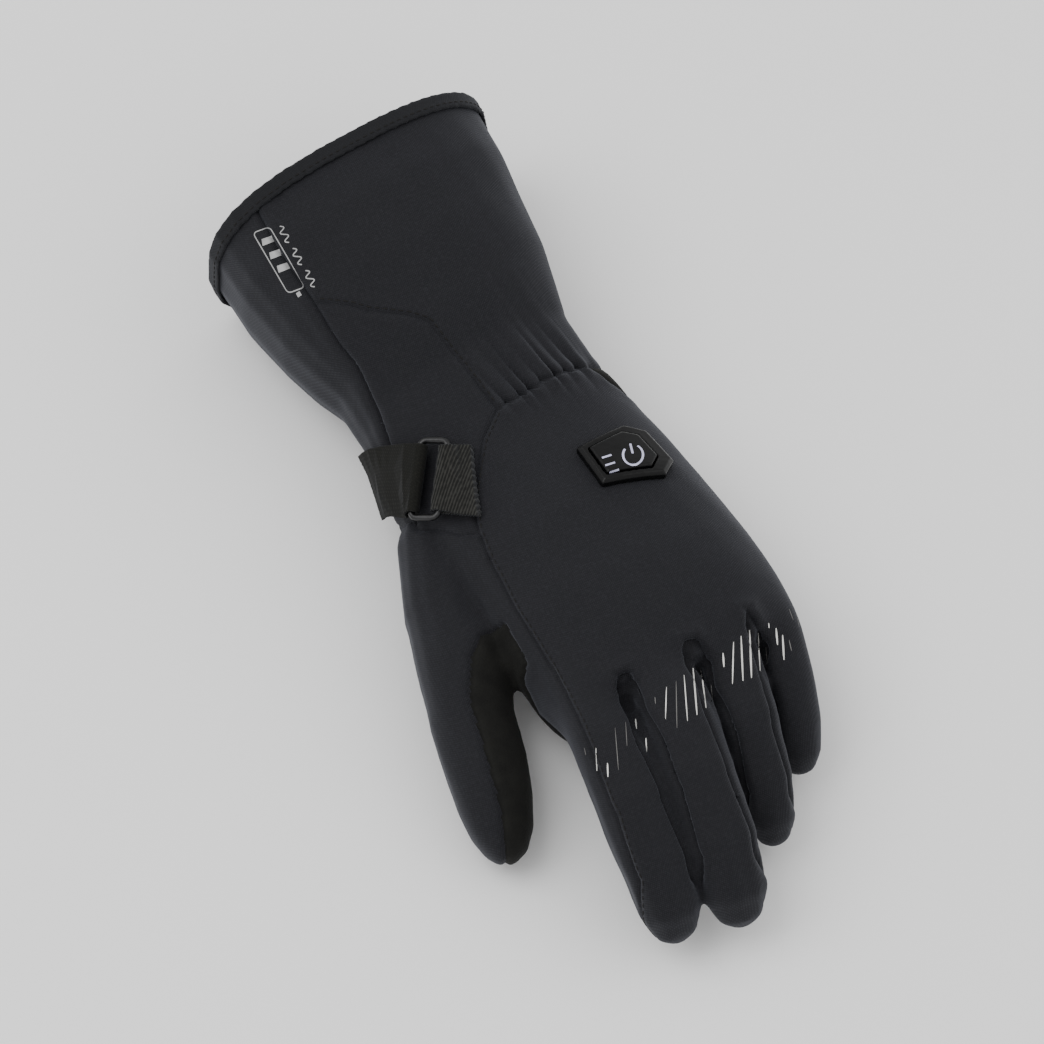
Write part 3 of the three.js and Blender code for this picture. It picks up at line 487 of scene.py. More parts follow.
def add_bump(tree, shader, height, strength, distance):
    made = node(tree, "ShaderNodeBump", {"Strength": strength, "Distance": distance})
    tree.links.new(height, made.inputs["Height"])
    tree.links.new(made.outputs["Normal"], shader.inputs["Normal"])


def vary_color(tree, shader, factor, dark, light, low=0.35, high=0.65):
    """Colour that goes from dark to light with a texture."""
    ramp = node(tree, "ShaderNodeValToRGB")
    ramp.color_ramp.elements[0].position = low
    ramp.color_ramp.elements[0].color = (*dark, 1)
    ramp.color_ramp.elements[1].position = high
    ramp.color_ramp.elements[1].color = (*light, 1)
    tree.links.new(factor, ramp.inputs["Fac"])
    tree.links.new(ramp.outputs["Color"], shader.inputs["Base Color"])


def woven(name, dark, light, roughness, pitch, turns, depth, sheen):
    """Cloth with two crossing sets of threads and a light fuzz over them."""
    material, tree, shader = new_material(name, light, roughness)
    vector = object_space(tree)
    crossing = [waves(tree, vector, turn, pitch) for turn in turns]
    weave = math_node(tree, "MULTIPLY", crossing[0], crossing[1])
    fine = grain(tree, vector, pitch * FUZZ_SIZE, detail=3.0)
    height = math_node(tree, "ADD", weave, math_node(tree, "MULTIPLY", fine, FUZZ))
    add_bump(tree, shader, height, strength=1.0, distance=depth)
    woven_tone = math_node(tree, "MULTIPLY", weave, WEAVE_TONE)
    cloudy = grain(tree, vector, pitch * TONE_SIZE, detail=4.0)
    cloudy_tone = math_node(tree, "MULTIPLY", cloudy, 1 - WEAVE_TONE)
    vary_color(tree, shader, math_node(tree, "ADD", woven_tone, cloudy_tone), dark, light)
    shader.inputs["Sheen Weight"].default_value = sheen
    shader.inputs["Sheen Roughness"].default_value = 0.5
    shader.inputs["Sheen Tint"].default_value = (*SHEEN_TINT, 1)
    shader.inputs["Specular IOR Level"].default_value = DULL_SPECULAR
    return material


def leather_material():
    material, tree, shader = new_material("palm_leather", LEATHER_LIGHT, roughness=0.82)
    vector = object_space(tree)
    cells = node(tree, "ShaderNodeTexVoronoi", {"Scale": 1 / LEATHER_GRAIN}, feature="F1")
    tree.links.new(vector, cells.inputs["Vector"])
    nap = grain(tree, vector, LEATHER_GRAIN / 2, detail=5.0)
    height = math_node(tree, "ADD", cells.outputs["Distance"], nap)
    add_bump(tree, shader, height, strength=0.8, distance=0.12 * MM)
    tone = grain(tree, vector, LEATHER_TONE, detail=6.0)
    vary_color(tree, shader, tone, LEATHER_DARK, LEATHER_LIGHT)
    shader.inputs["Sheen Weight"].default_value = 0.02
    shader.inputs["Sheen Roughness"].default_value = 0.6
    shader.inputs["Specular IOR Level"].default_value = DULL_SPECULAR
    return material


def smooth_material(name, color, roughness, metallic=0.0, speck=0.3 * MM, depth=0.02 * MM,
                    specular=0.5):
    """Moulded, painted or metal surfaces with a faint unevenness."""
    material, tree, shader = new_material(name, color, roughness, metallic)
    shader.inputs["Specular IOR Level"].default_value = specular
    vector = object_space(tree)
    add_bump(tree, shader, grain(tree, vector, speck, detail=3.0), strength=0.5, distance=depth)
    darker = tuple(SMOOTH_DARKER * c for c in color)
    vary_color(tree, shader, grain(tree, vector, SMOOTH_TONE, detail=4.0), darker, color)
    return material


softshell = woven("softshell", SOFTSHELL_DARK, SOFTSHELL_LIGHT, roughness=0.8,
                  pitch=0.62 * MM, turns=WEAVE_TURNS, depth=0.07 * MM, sheen=0.13)
tape = woven("binding_tape", TAPE_DARK, TAPE_LIGHT, roughness=0.85,
             pitch=0.5 * MM, turns=BAND_TURNS, depth=0.06 * MM, sheen=0.08)
webbing = woven("webbing", WEBBING_DARK, WEBBING_LIGHT, roughness=0.85,
                pitch=0.9 * MM, turns=BAND_TURNS, depth=0.1 * MM, sheen=0.04)
leather = leather_material()
steel = smooth_material("ring_steel", STEEL_COLOR, roughness=0.34, metallic=0.9)
rubber = smooth_material("control_rubber", RUBBER_COLOR, roughness=0.3, specular=DULL_SPECULAR)
thread = smooth_material("thread", THREAD_COLOR, roughness=0.75, speck=0.2 * MM, depth=0.05 * MM,
                         specular=DULL_SPECULAR)
# Lit and shaded copies of one silver print: one with a painted glint, one with painted shade
print_painted_glint = smooth_material("stripe_painted_glint", PRINT_PAINTED_GLINT, roughness=0.42, metallic=0.25)
print_painted_shade = smooth_material("stripe_painted_shade", PRINT_PAINTED_SHADE, roughness=0.5, metallic=0.25)
print_gauge = smooth_material("gauge_print", PRINT_GAUGE, roughness=0.5, metallic=0.1)
mark_paint = smooth_material("mark_paint", MARK_COLOR, roughness=0.5)


# The skin


def joined_panels():
    """One mesh object with the solids of all the cloth panels."""
    points, triangles, start = [], [], 0
    for name in PANELS:
        own_points, own_triangles = mesh_arrays(nodes[name].data)
        points.append(own_points)
        triangles.append(own_triangles + start)
        start += len(own_points)
    mesh = bpy.data.meshes.new("joined")
    mesh.from_pydata(np.concatenate(points).tolist(), [], np.concatenate(triangles).tolist())
    return mesh


def remeshed(mesh, voxel):
    """Vertices and quads of a mesh made anew from voxels."""
    obj = bpy.data.objects.new("scratch", mesh)
    bpy.context.collection.objects.link(obj)
    modifier = obj.modifiers.new("remesh", "REMESH")
    modifier.mode = "VOXEL"
    modifier.voxel_size = voxel
    evaluated = obj.evaluated_get(bpy.context.evaluated_depsgraph_get())
    result = evaluated.to_mesh()
    points = np.empty(len(result.vertices) * 3)
    result.vertices.foreach_get("co", points)
    faces = np.empty(len(result.loops), np.int32)
    result.loops.foreach_get("vertex_index", faces)
    evaluated.to_mesh_clear()
    bpy.data.objects.remove(obj)
    bpy.data.meshes.remove(mesh)
    return points.reshape(-1, 3), faces.reshape(-1, 4)


def without_loose(points, faces):
    """The same faces with only the vertices that they use."""
    used, renumbered = np.unique(faces, return_inverse=True)
    return points[used], renumbered.reshape(faces.shape)


def boundary_vertices(count, faces):
    """Which vertices lie on an edge that only one face has."""
    edges = np.concatenate([faces[:, [i, (i + 1) % 4]] for i in range(4)])
    edges, uses = np.unique(np.sort(edges, axis=1), axis=0, return_counts=True)
    on_edge = np.zeros(count, bool)
    on_edge[edges[uses == 1]] = True
    return on_edge


def cut_skin():
    """The panels' skin, outside and in, cut open at the cuff's mouth."""
    points, faces = remeshed(joined_panels(), SKIN_VOXEL)
    past = points @ mouth_normal > mouth_reach - MOUTH_CUT
    return without_loose(points, faces[~past[faces].any(axis=1)])


def relaxed(points, faces, rounds):
    both, degree = neighbours(len(points), faces)
    edge = boundary_vertices(len(points), faces)
    return smoothed(points, both, degree, rounds, fixed=edge)


def to_mouth(points, faces):
    """Moves a skin's open edge out to the cuff's mouth."""
    edge = boundary_vertices(len(points), faces)
    short = mouth_reach - points[edge] @ mouth_normal
    points[edge] += short[:, None] * mouth_normal


def panel_distances(points):
    """Each vertex's distance to each panel's solid, up to the panel's reach."""
    table = np.empty((len(PANELS), len(points)))
    for row, name in enumerate(PANELS):
        reach = GATHER_LENGTH if name in GATHERED_PANELS else SEAM_REACH
        table[row] = reach
        tree = cad_tree(name)
        low, high = (np.array(corner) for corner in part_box(name))
        near = ((points > low - reach) & (points < high + reach)).all(axis=1)
        for index in np.flatnonzero(near):
            found = tree.find_nearest(points[index], reach)
            if found[0] is not None:
                table[row, index] = found[3]
    return table


def near_root(points, name, reach):
    """How near points are to a fourchette's root, from 0 to 1."""
    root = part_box(name)[1][1] - reach
    return smoothstep(points[:, 1], root - reach, root)


def narrowed_slits(points, distances):
    """Moves the seams between the back and the fourchettes together, where the fingers part."""
    back = distances[row_of["back_panel"]]
    for name in FOURCHETTES:
        own = distances[row_of[name]]
        base = np.minimum(back, own)
        past_seam = back - own - SLIT_CLOSING * near_root(points, name, SLIT_LENGTH)
        near = base < SLIT_CLOSING
        back = np.where(near, base + np.maximum(past_seam, 0), back)
        distances[row_of[name]] = np.where(near, base + np.maximum(-past_seam, 0), own)
    distances[row_of["back_panel"]] = back


def face_panels(faces, distances):
    """The panel of each face: the one whose solid is nearest, without stray faces."""
    labels = distances[:, faces].mean(axis=2).argmin(axis=0)
    edges = np.concatenate([np.sort(faces[:, [i, (i + 1) % 4]], axis=1) for i in range(4)])
    owner = np.tile(np.arange(len(faces)), 4)
    order = np.lexsort((edges[:, 1], edges[:, 0]))
    same = (edges[order][1:] == edges[order][:-1]).all(axis=1)
    pairs = np.stack([owner[order][:-1][same], owner[order][1:][same]], 1)
    pairs = np.concatenate([pairs, pairs[:, ::-1]])
    for _ in range(LABEL_ROUNDS):
        votes = np.zeros((len(faces), len(PANELS)), np.int32)
        np.add.at(votes, (pairs[:, 0], labels[pairs[:, 1]]), 1)
        outvoted = votes.max(axis=1) >= LABEL_VOTES
        labels = np.where(outvoted, votes.argmax(axis=1), labels)
    return labels


def snap_to_seams(points, faces, labels, distances):
    """Moves the vertices between two panels onto the seam, where both solids are as near."""
    count = len(points)
    touching = np.zeros((count, len(PANELS)), bool)
    for corner in range(4):
        touching[faces[:, corner], labels] = True
    both, _ = neighbours(count, faces)
    order = np.argsort(both[:, 0], kind="stable")
    targets = both[order, 1]
    first = np.searchsorted(both[order, 0], np.arange(count + 1))
    normals = normals_of(points, faces)
    moved = points.copy()
    for vertex in np.flatnonzero(touching.sum(axis=1) == 2):
        a, b = np.flatnonzero(touching[vertex])
        gap = distances[a] - distances[b]
        around = targets[first[vertex]:first[vertex + 1]]
        steps = points[around] - points[vertex]
        normal = normals[vertex]
        steps = steps - np.outer(steps @ normal, normal)
        slope = np.linalg.lstsq(steps, gap[around] - gap[vertex], rcond=None)[0]
        slope -= (slope @ normal) * normal
        size = slope @ slope
        if size > SMALLEST_SLOPE:
            shift = -gap[vertex] * slope / size
            length = np.linalg.norm(shift)
            moved[vertex] += shift * min(1, SNAP_SHARE * SKIN_VOXEL / max(length, 1e-9))
            distances[[a, b], vertex] = distances[[a, b], vertex].min()
    return moved


def subdivided(points, faces, chosen, fields):
    """Quarters the chosen quads. The fields, one column a vertex, follow."""
    picked = faces[chosen]
    edges = np.concatenate([np.sort(picked[:, [i, (i + 1) % 4]], axis=1) for i in range(4)])
    edges, which = np.unique(edges, axis=0, return_inverse=True)
    which = which.reshape(4, -1) + len(points)
    middles = np.arange(len(picked)) + len(points) + len(edges)
    points = np.concatenate([points, points[edges].mean(axis=1), points[picked].mean(axis=1)])
    fields = np.concatenate(
        [fields, fields[:, edges].mean(axis=2), fields[:, picked].mean(axis=2)], axis=1)
    quarters = [np.stack([picked[:, i], which[i], middles, which[i - 1]], 1) for i in range(4)]
    return points, np.concatenate([faces[~chosen], *quarters]), fields


# Knuckles, and gathers at the back of the wrist


def smoothed_knuckles(points, faces, distances):
    """Takes the steps out of the back where the fingers' solids come out of the palm's."""
    to_fourchettes = distances[[row_of[name] for name in FOURCHETTES]].min(axis=0)
    weight = bump(points[:, 1] - KNUCKLE_PLACE, KNUCKLE_WIDTH)
    weight = weight * smoothstep(to_fourchettes, *KNUCKLE_CLEAR)
    weight = weight * smoothstep(points[:, 2], *KNUCKLE_HEIGHTS)
    return eased(points, *neighbours(len(points), faces), weight, KNUCKLE_ROUNDS)


def gather_places(points, distances):
    """Where each point lies by the gathered seam: how far along it as a share, how far from it, above
    0 on the cuff's side, and how much it takes part."""
    cuff = distances[row_of["cuff_back"]]
    back = distances[row_of["back_panel"]]
    side = back - cuff
    along = points @ np.array([math.cos(MOUTH_YAW), math.sin(MOUTH_YAW), 0])
    on_seam = (np.abs(side) < SKIN_VOXEL) & (np.maximum(cuff, back) < SKIN_VOXEL)
    curve = np.polyfit(along[on_seam], points[on_seam, 2], GATHER_CURVE_DEGREE)
    fine = np.linspace(along[on_seam].min(), along[on_seam].max(), GATHER_CURVE_STEPS)
    heights = np.polyval(curve, fine)
    run = np.concatenate([[0], np.cumsum(np.hypot(np.diff(fine), np.diff(heights)))])
    share = np.interp(along, fine, run / run[-1])
    ends = smoothstep(share, 0, GATHER_ENDS) * smoothstep(1 - share, 0, GATHER_ENDS)
    other = np.delete(distances, [row_of["cuff_back"], row_of["back_panel"]], axis=0).min(axis=0)
    on_top = np.minimum(cuff, back) < other
    return share, side, ends * on_top


def flattened_gathers(points, faces, distances):
    """Takes out the solids' own coarse gathers, so that finer ones can take their place."""
    _, side, ends = gather_places(points, distances)
    weight = ends * bump(side, GATHER_FLAT)
    return eased(points, *neighbours(len(points), faces), weight, GATHER_ROUNDS)


def gathered(points, normals, share, side, ends):
    """Tucks across the seam: sharp where the elastic takes the cloth in and round between."""
    warped = share
    for size, rate, start in GATHER_WARPS:
        warped = warped + size * np.sin(share * rate + start)
    lean = np.where(side > 0, side / GATHER_LENGTH * GATHER_LEAN, 0)
    phase = GATHER_COUNT * (warped + lean)
    ridge = np.abs(np.sin(math.pi * phase)) ** GATHER_ROUNDNESS
    size, rate, start = GATHER_VARIETY
    height = 1 + size * np.sin(share * rate + start)
    cuff_fade = np.exp(-np.maximum(side, 0) / GATHER_CUFF_FADE)
    hand_fade = np.exp(-np.maximum(-side, 0) / GATHER_HAND_FADE)
    fade = np.where(side > 0, cuff_fade, hand_fade) * ends
    by_fold = bump(side - GATHER_FOLD_PLACE, GATHER_FOLD_WIDTH)
    slow = np.sin(math.pi * phase / 2 + GATHER_FOLD_START) * by_fold * ends
    out = GATHER_HEIGHT * (ridge - GATHER_LEVEL) * height * fade + GATHER_FOLD * slow
    slide = GATHER_SLIDE * (ridge - GATHER_SLIDE_LEVEL) * bump(side, GATHER_SLIDE_REACH) * ends
    return points + normals * out[:, None] - mouth_normal * slide[:, None]


# Shape along the seams


def seam_shape(distances):
    """Each point's distance to the nearest seam, and that seam's depth and puff."""
    order = np.argsort(distances, axis=0)
    own, other = order[:2]
    distance = np.take_along_axis(distances, order[1:2], axis=0)[0]
    depth_of = np.full((len(PANELS), len(PANELS)), GROOVE_DEPTH)
    puff_of = np.full((len(PANELS), len(PANELS)), PUFF_HEIGHT)
    for (first, second), (depth, puff) in SEAM_STYLES.items():
        a, b = row_of[first], row_of[second]
        depth_of[[a, b], [b, a]] = depth
        puff_of[[a, b], [b, a]] = puff
    return distance, depth_of[own, other], puff_of[own, other]


def valleys(points, normals, distances):
    """How far each point takes part in the valleys that the fourchettes' tops sink into."""
    back = distances[row_of["back_panel"]]
    weight = np.zeros(len(points))
    for name in FOURCHETTES:
        past_seam = back - distances[row_of[name]]
        own = smoothstep(past_seam, -VALLEY_SLOPE, VALLEY_SLOPE) * near_root(points, name, VALLEY_LENGTH)
        weight = np.maximum(weight, own * (distances[row_of[name]] < VALLEY_SLOPE))
    return weight * smoothstep(normals[:, 2], *VALLEY_FACING)


def shaped(points, faces, distances):
    """The skin with its valleys, its seams drawn in, its soft unevenness and its gathers."""
    share, side, ends = gather_places(points, distances)
    both, degree = neighbours(len(points), faces)
    normals = normals_of(points, faces)
    valley = valleys(points, normals, distances)
    points = points - VALLEY_DEPTH * valley[:, None] * normals
    easing = np.minimum(VALLEY_EASING * valley, VALLEY_EASING_MOST)
    points = eased(points, both, degree, easing, VALLEY_ROUNDS)
    normals = normals_of(points, faces)
    distance, depth, puff = seam_shape(distances)
    swell = puff * (bump(distance - PUFF_PLACE, PUFF_WIDTH) - bump(PUFF_PLACE, PUFF_WIDTH))
    out = swell - depth * bump(distance, GROOVE_WIDTH)
    out += UNEVEN_HEIGHT * noise(points, UNEVEN_SIZE, seed=3)
    out += CREASE_HEIGHT * noise(points * CREASE_STRETCH, CREASE_SIZE, seed=8)
    points = points + normals * out[:, None]
    return gathered(points, normals, share, side, ends)


def add_panels():
    for row, name in enumerate(PANELS):
        own_faces = skin_faces[labels == row]
        used, renumbered = np.unique(own_faces, return_inverse=True)
        material = leather if name in LEATHER_PANELS else softshell
        panel = new_object(f"{name}_cloth", skin[used], renumbered.reshape(own_faces.shape), material)
        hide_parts(name)


# Lines on a surface


def level_lines(points, faces, values, level):
    """The lines on a surface of quads along which the values have one level."""
    triangles = np.concatenate([faces[:, [0, 1, 2]], faces[:, [0, 2, 3]]])
    above = values[triangles] > level
    crossing = triangles[above.any(axis=1) & ~above.all(axis=1)]
    links = {}
    places = {}
    for triangle in crossing:
        ends = []
        for i in range(3):
            a, b = sorted((int(triangle[i]), int(triangle[(i + 1) % 3])))
            if (values[a] > level) != (values[b] > level):
                share = (level - values[a]) / (values[b] - values[a])
                places[(a, b)] = points[a] + share * (points[b] - points[a])
                ends.append((a, b))
        for one, other in (ends, ends[::-1]):
            links.setdefault(one, []).append(other)
    lines = []
    loose = set(links)
    while loose:
        tips = [key for key in loose if len(links[key]) == 1]
        here = min(tips) if tips else min(loose)
        line = []
        while here is not None:
            loose.discard(here)
            line.append(places[here])
            here = next((key for key in links[here] if key in loose), None)
        lines.append(np.array(line))
    return lines


def resampled(line, pitch):
    """Points along a line at even distances."""
    run = np.concatenate([[0], np.cumsum(np.linalg.norm(np.diff(line, axis=0), axis=1))])
    places = np.arange(pitch / 2, run[-1], pitch)
    return np.stack([np.interp(places, run, line[:, axis]) for axis in range(3)], 1)


def evened(line, rounds=6):
    """A line with its small steps smoothed out."""
    for _ in range(rounds):
        middle = (line[:-2] + line[2:]) / 2
        line = np.concatenate([line[:1], (line[1:-1] + middle) / 2, line[-1:]])
    return line


def stitch_mesh(line, tree):
    """Stitches along a line: short threads that dip into the cloth at both ends."""
    points, faces = [], []
    centres = resampled(evened(line), STITCH_PITCH)
    for index in range(1, len(centres) - 1):
        along = Vector(centres[index + 1] - centres[index - 1]).normalized()
        place, normal, _, _ = tree.find_nearest(Vector(centres[index]))
        along = (along - along.dot(normal) * normal).normalized()
        across = along.cross(normal)
        start = len(points)
        for where, radius, rise in STITCH_RINGS:
            middle = place + along * (where * STITCH_LENGTH / 2) + normal * (rise * STITCH_RADIUS)
            for k in range(STITCH_SIDES):
                angle = 2 * math.pi * k / STITCH_SIDES
                ring = across * math.cos(angle) + normal * math.sin(angle)
                points.append(middle + ring * (radius * STITCH_RADIUS))
        for ring in range(len(STITCH_RINGS) - 1):
            for k in range(STITCH_SIDES):
                a = start + ring * STITCH_SIDES + k
                b = start + ring * STITCH_SIDES + (k + 1) % STITCH_SIDES
                faces.append((a, b, b + STITCH_SIDES, a + STITCH_SIDES))
    return points, faces


def add_stitching(name, rows):
    """One object with the stitches along several lines."""
    points, faces = [], []
    for line, tree in rows:
        own_points, own_faces = stitch_mesh(line, tree)
        faces += [tuple(i + len(points) for i in face) for face in own_faces]
        points += own_points
    new_object(name, points, faces, thread)


def seam_rows(panel, other, offset):
    """Lines on a panel at a distance from another panel."""
    values = distances[row_of[other]]
    own_faces = skin_faces[labels == row_of[panel]]
    lines = level_lines(skin, own_faces, values, offset)
    return [line for line in lines if len(line) > SHORTEST_LINE]


# Bands, ring and control


def solid_mesh(name):
    points, triangles = mesh_arrays(nodes[name].data)
    mesh = bpy.data.meshes.new("solid")
    mesh.from_pydata(points.tolist(), [], triangles.tolist())
    return mesh


def moulded(name, voxel, rounds):
    """A solid with every edge softly rounded."""
    points, faces = remeshed(solid_mesh(name), voxel)
    return relaxed(points, faces, rounds), faces


def middle_of(name):
    low, high = (np.array(corner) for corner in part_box(name))
    return (low + high) / 2


def add_bands():
    points, faces = moulded("strap", STRAP_VOXEL, BAND_SMOOTHING)
    strap = new_object("strap_webbing", points, faces, webbing)
    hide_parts("strap")

    points, faces = moulded("strap_elastic", ELASTIC_VOXEL, BAND_SMOOTHING)
    run = middle_of("strap_elastic") - middle_of("strap_ring")
    run /= np.linalg.norm(run)
    normals = normals_of(points, faces)
    wave = np.cos(points @ run * (2 * math.pi / RIB_PITCH))
    points = points + normals * (RIB_HEIGHT * wave)[:, None]
    rib_turn = Vector(run).rotation_difference(Vector((1, 0, 0))).to_euler()
    elastic = woven("elastic", ELASTIC_DARK, ELASTIC_LIGHT, 0.85,
                    pitch=RIB_PITCH, turns=(rib_turn, rib_turn), depth=0.08 * MM, sheen=0.12)
    band = new_object("strap_elastic_ribbed", points, faces, elastic)
    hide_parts("strap_elastic")


def add_ring():
    points, faces = moulded("strap_ring", RING_VOXEL, BAND_SMOOTHING)
    ring = new_object("strap_ring_wire", points, faces, steel)
    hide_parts("strap_ring")


def add_control():
    """The housing and the key, and a tree of each for the marks to lie on."""
    trees = []
    for name, voxel in (("control_housing", HOUSING_VOXEL), ("control_key", KEY_VOXEL)):
        points, faces = moulded(name, voxel, MOULD_SMOOTHING)
        piece = new_object(f"{name}_moulded", points, faces, rubber)
        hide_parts(name)
        trees.append(BVHTree.FromPolygons([Vector(p) for p in points], faces.tolist()))
    return trees


def add_binding():
    """The binding, and the line of its stitches."""
    points, faces = moulded("hem_binding", BINDING_VOXEL, BINDING_SMOOTHING)
    binding = new_object("hem_binding_tape", points, faces, tape)
    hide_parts("hem_binding")
    tree = BVHTree.FromPolygons([Vector(p) for p in points], faces.tolist())
    place = points @ mouth_normal
    outside = normals_of(points, faces)
    centre = np.array([points[:, 0].mean(), 0, points[:, 2].mean()])
    outward = ((points - centre) * outside)[:, [0, 2]].sum(axis=1) > 0
    faces = faces[outward[faces].all(axis=1)]
    lines = level_lines(points, faces, place, mouth_reach - BINDING_STITCH)
    return [(line, tree) for line in lines if len(line) > SHORTEST_LINE]


# Prints: thin strokes laid on a surface where the camera's rays meet it


def stroke(trees, pixels, width, lift, taper=False):
    """A flat stroke along pixels of the photograph, on the first of the surfaces that it meets."""
    pixels = np.array(pixels, float)
    run = np.concatenate([[0], np.cumsum(np.hypot(*np.diff(pixels, axis=0).T))])
    steps = np.linspace(0, run[-1], max(3, int(run[-1] / STROKE_STEP) + 1))
    path = np.stack([np.interp(steps, run, pixels[:, axis]) for axis in range(2)], 1)
    hits = []
    for column, row in path:
        start, direction = camera_ray(column, row)
        found = [tree.ray_cast(start, direction) for tree in trees]
        found = [(hit[3], tree, hit[0]) for hit, tree in zip(found, trees) if hit[0] is not None]
        if found:
            _, tree, place = min(found, key=lambda item: item[0])
            hits.append((tree, place))
    points, faces = [], []
    lanes = max(2, round(width / STROKE_LANE) + 1)
    for index, (tree, place) in enumerate(hits):
        before = hits[max(index - 1, 0)][1]
        after = hits[min(index + 1, len(hits) - 1)][1]
        _, normal, _, _ = tree.find_nearest(place)
        across = (after - before).cross(normal).normalized()
        share = index / max(len(hits) - 1, 1)
        half = width / 2
        if taper:
            half *= math.sin(math.pi * (TAPER_START + (1 - 2 * TAPER_START) * share)) ** TAPER_POWER
        for lane in range(lanes):
            offset = half * (2 * lane / (lanes - 1) - 1)
            near, normal, _, _ = tree.find_nearest(place + across * offset)
            points.append(near + normal * lift)
    for index in range(len(hits) - 1):
        for lane in range(lanes - 1):
            a = index * lanes + lane
            faces.append((a, a + lanes, a + lanes + 1, a + 1))
    return points, faces


def add_print(name, strokes, material):
    points, faces = [], []
    for own_points, own_faces in strokes:
        faces += [tuple(i + len(points) for i in face) for face in own_faces]
        points += own_points
    new_object(name, points, faces, material)


def add_stripes():
    # Each stripe takes the copy of the print with a painted glint or the one with painted shade, as its
    # flag says
    for name, level, material in (("painted_glint", 1, print_painted_glint), ("painted_shade", 0, print_painted_shade)):
        strokes = [stroke([skin_tree], [(x0, y0), (x1, y1)], STRIPE_WIDTH * size, PRINT_LIFT, True)
                   for x0, y0, x1, y1, size, painted_glint in STRIPES if painted_glint == level]
        add_print(f"knuckle_stripes_{name}", strokes, material)


def placed(corners, outline):
    """Points given in shares of a print's length and width, as pixels of the photograph."""
    origin, length_end, width_end = (np.array(corner, float) for corner in corners)
    return [tuple(origin + along * (length_end - origin) + across * (width_end - origin))
            for along, across in outline]


def rounded_outline(low, high, radius, steps=5):
    """A closed outline with round corners, as shares along and across."""
    (x0, y0), (x1, y1) = low, high
    rx, ry = radius
    corners = [
        (x1 - rx, y1 - ry, 0),
        (x0 + rx, y1 - ry, 90),
        (x0 + rx, y0 + ry, 180),
        (x1 - rx, y0 + ry, 270),
    ]
    points = []
    for x, y, start in corners:
        for k in range(steps + 1):
            angle = math.radians(start + 90 * k / steps)
            points.append((x + rx * math.cos(angle), y + ry * math.sin(angle)))
    return points + points[:1]


def add_gauge():
    """A battery gauge with three waves of heat beside it, printed on the cuff."""
    shapes = [(rounded_outline(**GAUGE_CASE), GAUGE_LINE), (GAUGE_NUB_ENDS, GAUGE_NUB)]
    for along in GAUGE_BARS:
        shapes.append(([(along, across) for across in GAUGE_BAR_ENDS], GAUGE_BAR))
    for along in GAUGE_WAVES:
        wave = []
        for k in range(GAUGE_WAVE_STEPS + 1):
            share = k / GAUGE_WAVE_STEPS
            swing = GAUGE_WAVE_SIZE * math.sin(2 * math.pi * GAUGE_WAVE_TURNS * share)
            wave.append((along + GAUGE_WAVE_LENGTH * share, GAUGE_WAVE_MIDDLE + swing))
        shapes.append((wave, GAUGE_LINE))
    strokes = [stroke([skin_tree], placed(GAUGE_PLACE, shape), width, PRINT_LIFT)
               for shape, width in shapes]
    add_print("cuff_gauge_print", strokes, print_gauge)


def mark_point(turn, radius):
    """A pixel of the photograph round the middle of the ring on the key."""
    centre_x, centre_y = MARK_CENTRE
    angle = math.radians(turn)
    return centre_x + radius * math.sin(angle), centre_y - radius * math.cos(angle)


def add_marks(trees):
    """Three bars, and an open ring with a bar in its opening."""
    strokes = [stroke(trees, bar, MARK_LINE, MARK_LIFT) for bar in MARK_BARS]
    ring = [mark_point(MARK_TURN + MARK_OPEN + MARK_SWEEP * k / MARK_STEPS, MARK_RADIUS)
            for k in range(MARK_STEPS + 1)]
    bar = [mark_point(MARK_TURN, MARK_RADIUS * reach) for reach in MARK_BAR_ENDS]
    for line in (ring, bar):
        strokes.append(stroke(trees, line, MARK_LINE, MARK_LIFT))
    add_print("control_marks", strokes, mark_paint)


# Floor and light


def add_floor():
    corners = [(-FLOOR_REACH, -FLOOR_REACH, 0), (FLOOR_REACH, -FLOOR_REACH, 0),
               (FLOOR_REACH, FLOOR_REACH, 0), (-FLOOR_REACH, FLOOR_REACH, 0)]
    mesh = bpy.data.meshes.new("floor")
    mesh.from_pydata(corners, [], [(0, 1, 2, 3)])
    floor = bpy.data.objects.new("floor", mesh)
    bpy.context.collection.objects.link(floor)
    mesh.materials.append(new_material("floor", FLOOR_COLOR, FLOOR_ROUGHNESS)[0])


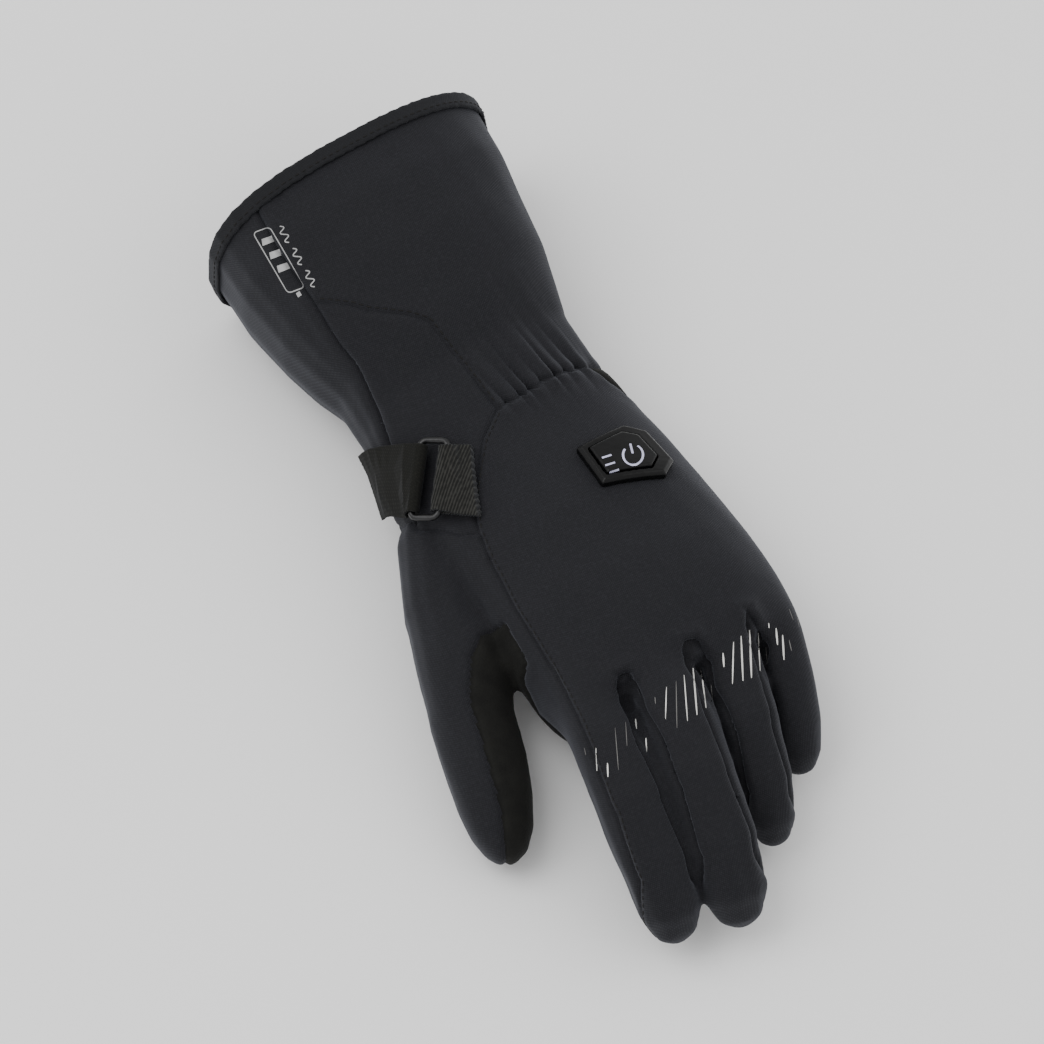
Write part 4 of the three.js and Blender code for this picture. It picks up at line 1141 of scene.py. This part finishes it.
def add_lights():
    world = bpy.data.worlds.new("world")
    world.use_nodes = True
    background = world.node_tree.nodes["Background"]
    background.inputs["Color"].default_value = (1, 1, 1, 1)
    background.inputs["Strength"].default_value = SKY_STRENGTH
    bpy.context.scene.world = world
    for name, place, size, power in LIGHTS:
        data = bpy.data.lights.new(name, "AREA")
        data.size = size
        data.energy = power
        light = bpy.data.objects.new(name, data)
        light.location = place
        light.rotation_euler = (-Vector(place)).to_track_quat("-Z", "Y").to_euler()
        bpy.context.collection.objects.link(light)


# The skin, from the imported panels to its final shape
mouth_normal = np.array([-math.sin(MOUTH_YAW), math.cos(MOUTH_YAW), 0])
mouth_reach = max((mesh_arrays(nodes[name].data)[0] @ mouth_normal).max() for name in CUFF_PANELS)
row_of = {name: row for row, name in enumerate(PANELS)}

skin, skin_faces = cut_skin()
skin = relaxed(skin, skin_faces, SKIN_SMOOTHING)
to_mouth(skin, skin_faces)
distances = panel_distances(skin)
narrowed_slits(skin, distances)
labels = face_panels(skin_faces, distances)
skin = snap_to_seams(skin, skin_faces, labels, distances)

skin = flattened_gathers(skin, skin_faces, distances)
skin = smoothed_knuckles(skin, skin_faces, distances)
near_seam = seam_shape(distances)[0] < SEAM_FINE
_, seam_side, seam_ends = gather_places(skin, distances)
near_gathers = (np.abs(seam_side) < GATHER_FINE) & (seam_ends > 0)
chosen = (near_seam | near_gathers)[skin_faces].any(axis=1)
skin, skin_faces, distances = subdivided(skin, skin_faces, chosen, distances)
labels = np.concatenate([labels[~chosen], np.tile(labels[chosen], 4)])
skin = shaped(skin, skin_faces, distances)
skin_tree = BVHTree.FromPolygons([Vector(p) for p in skin], skin_faces.tolist())

# The pieces
add_panels()
topstitch = []
for panel, other, offset in TOPSTITCHED:
    topstitch += [(line, skin_tree) for line in seam_rows(panel, other, offset)]
add_stitching("topstitching", topstitch)
add_stitching("binding_stitching", add_binding())
add_bands()
add_ring()
control_trees = add_control()
add_stripes()
add_gauge()
add_marks(control_trees)
add_camera()
add_floor()
add_lights()
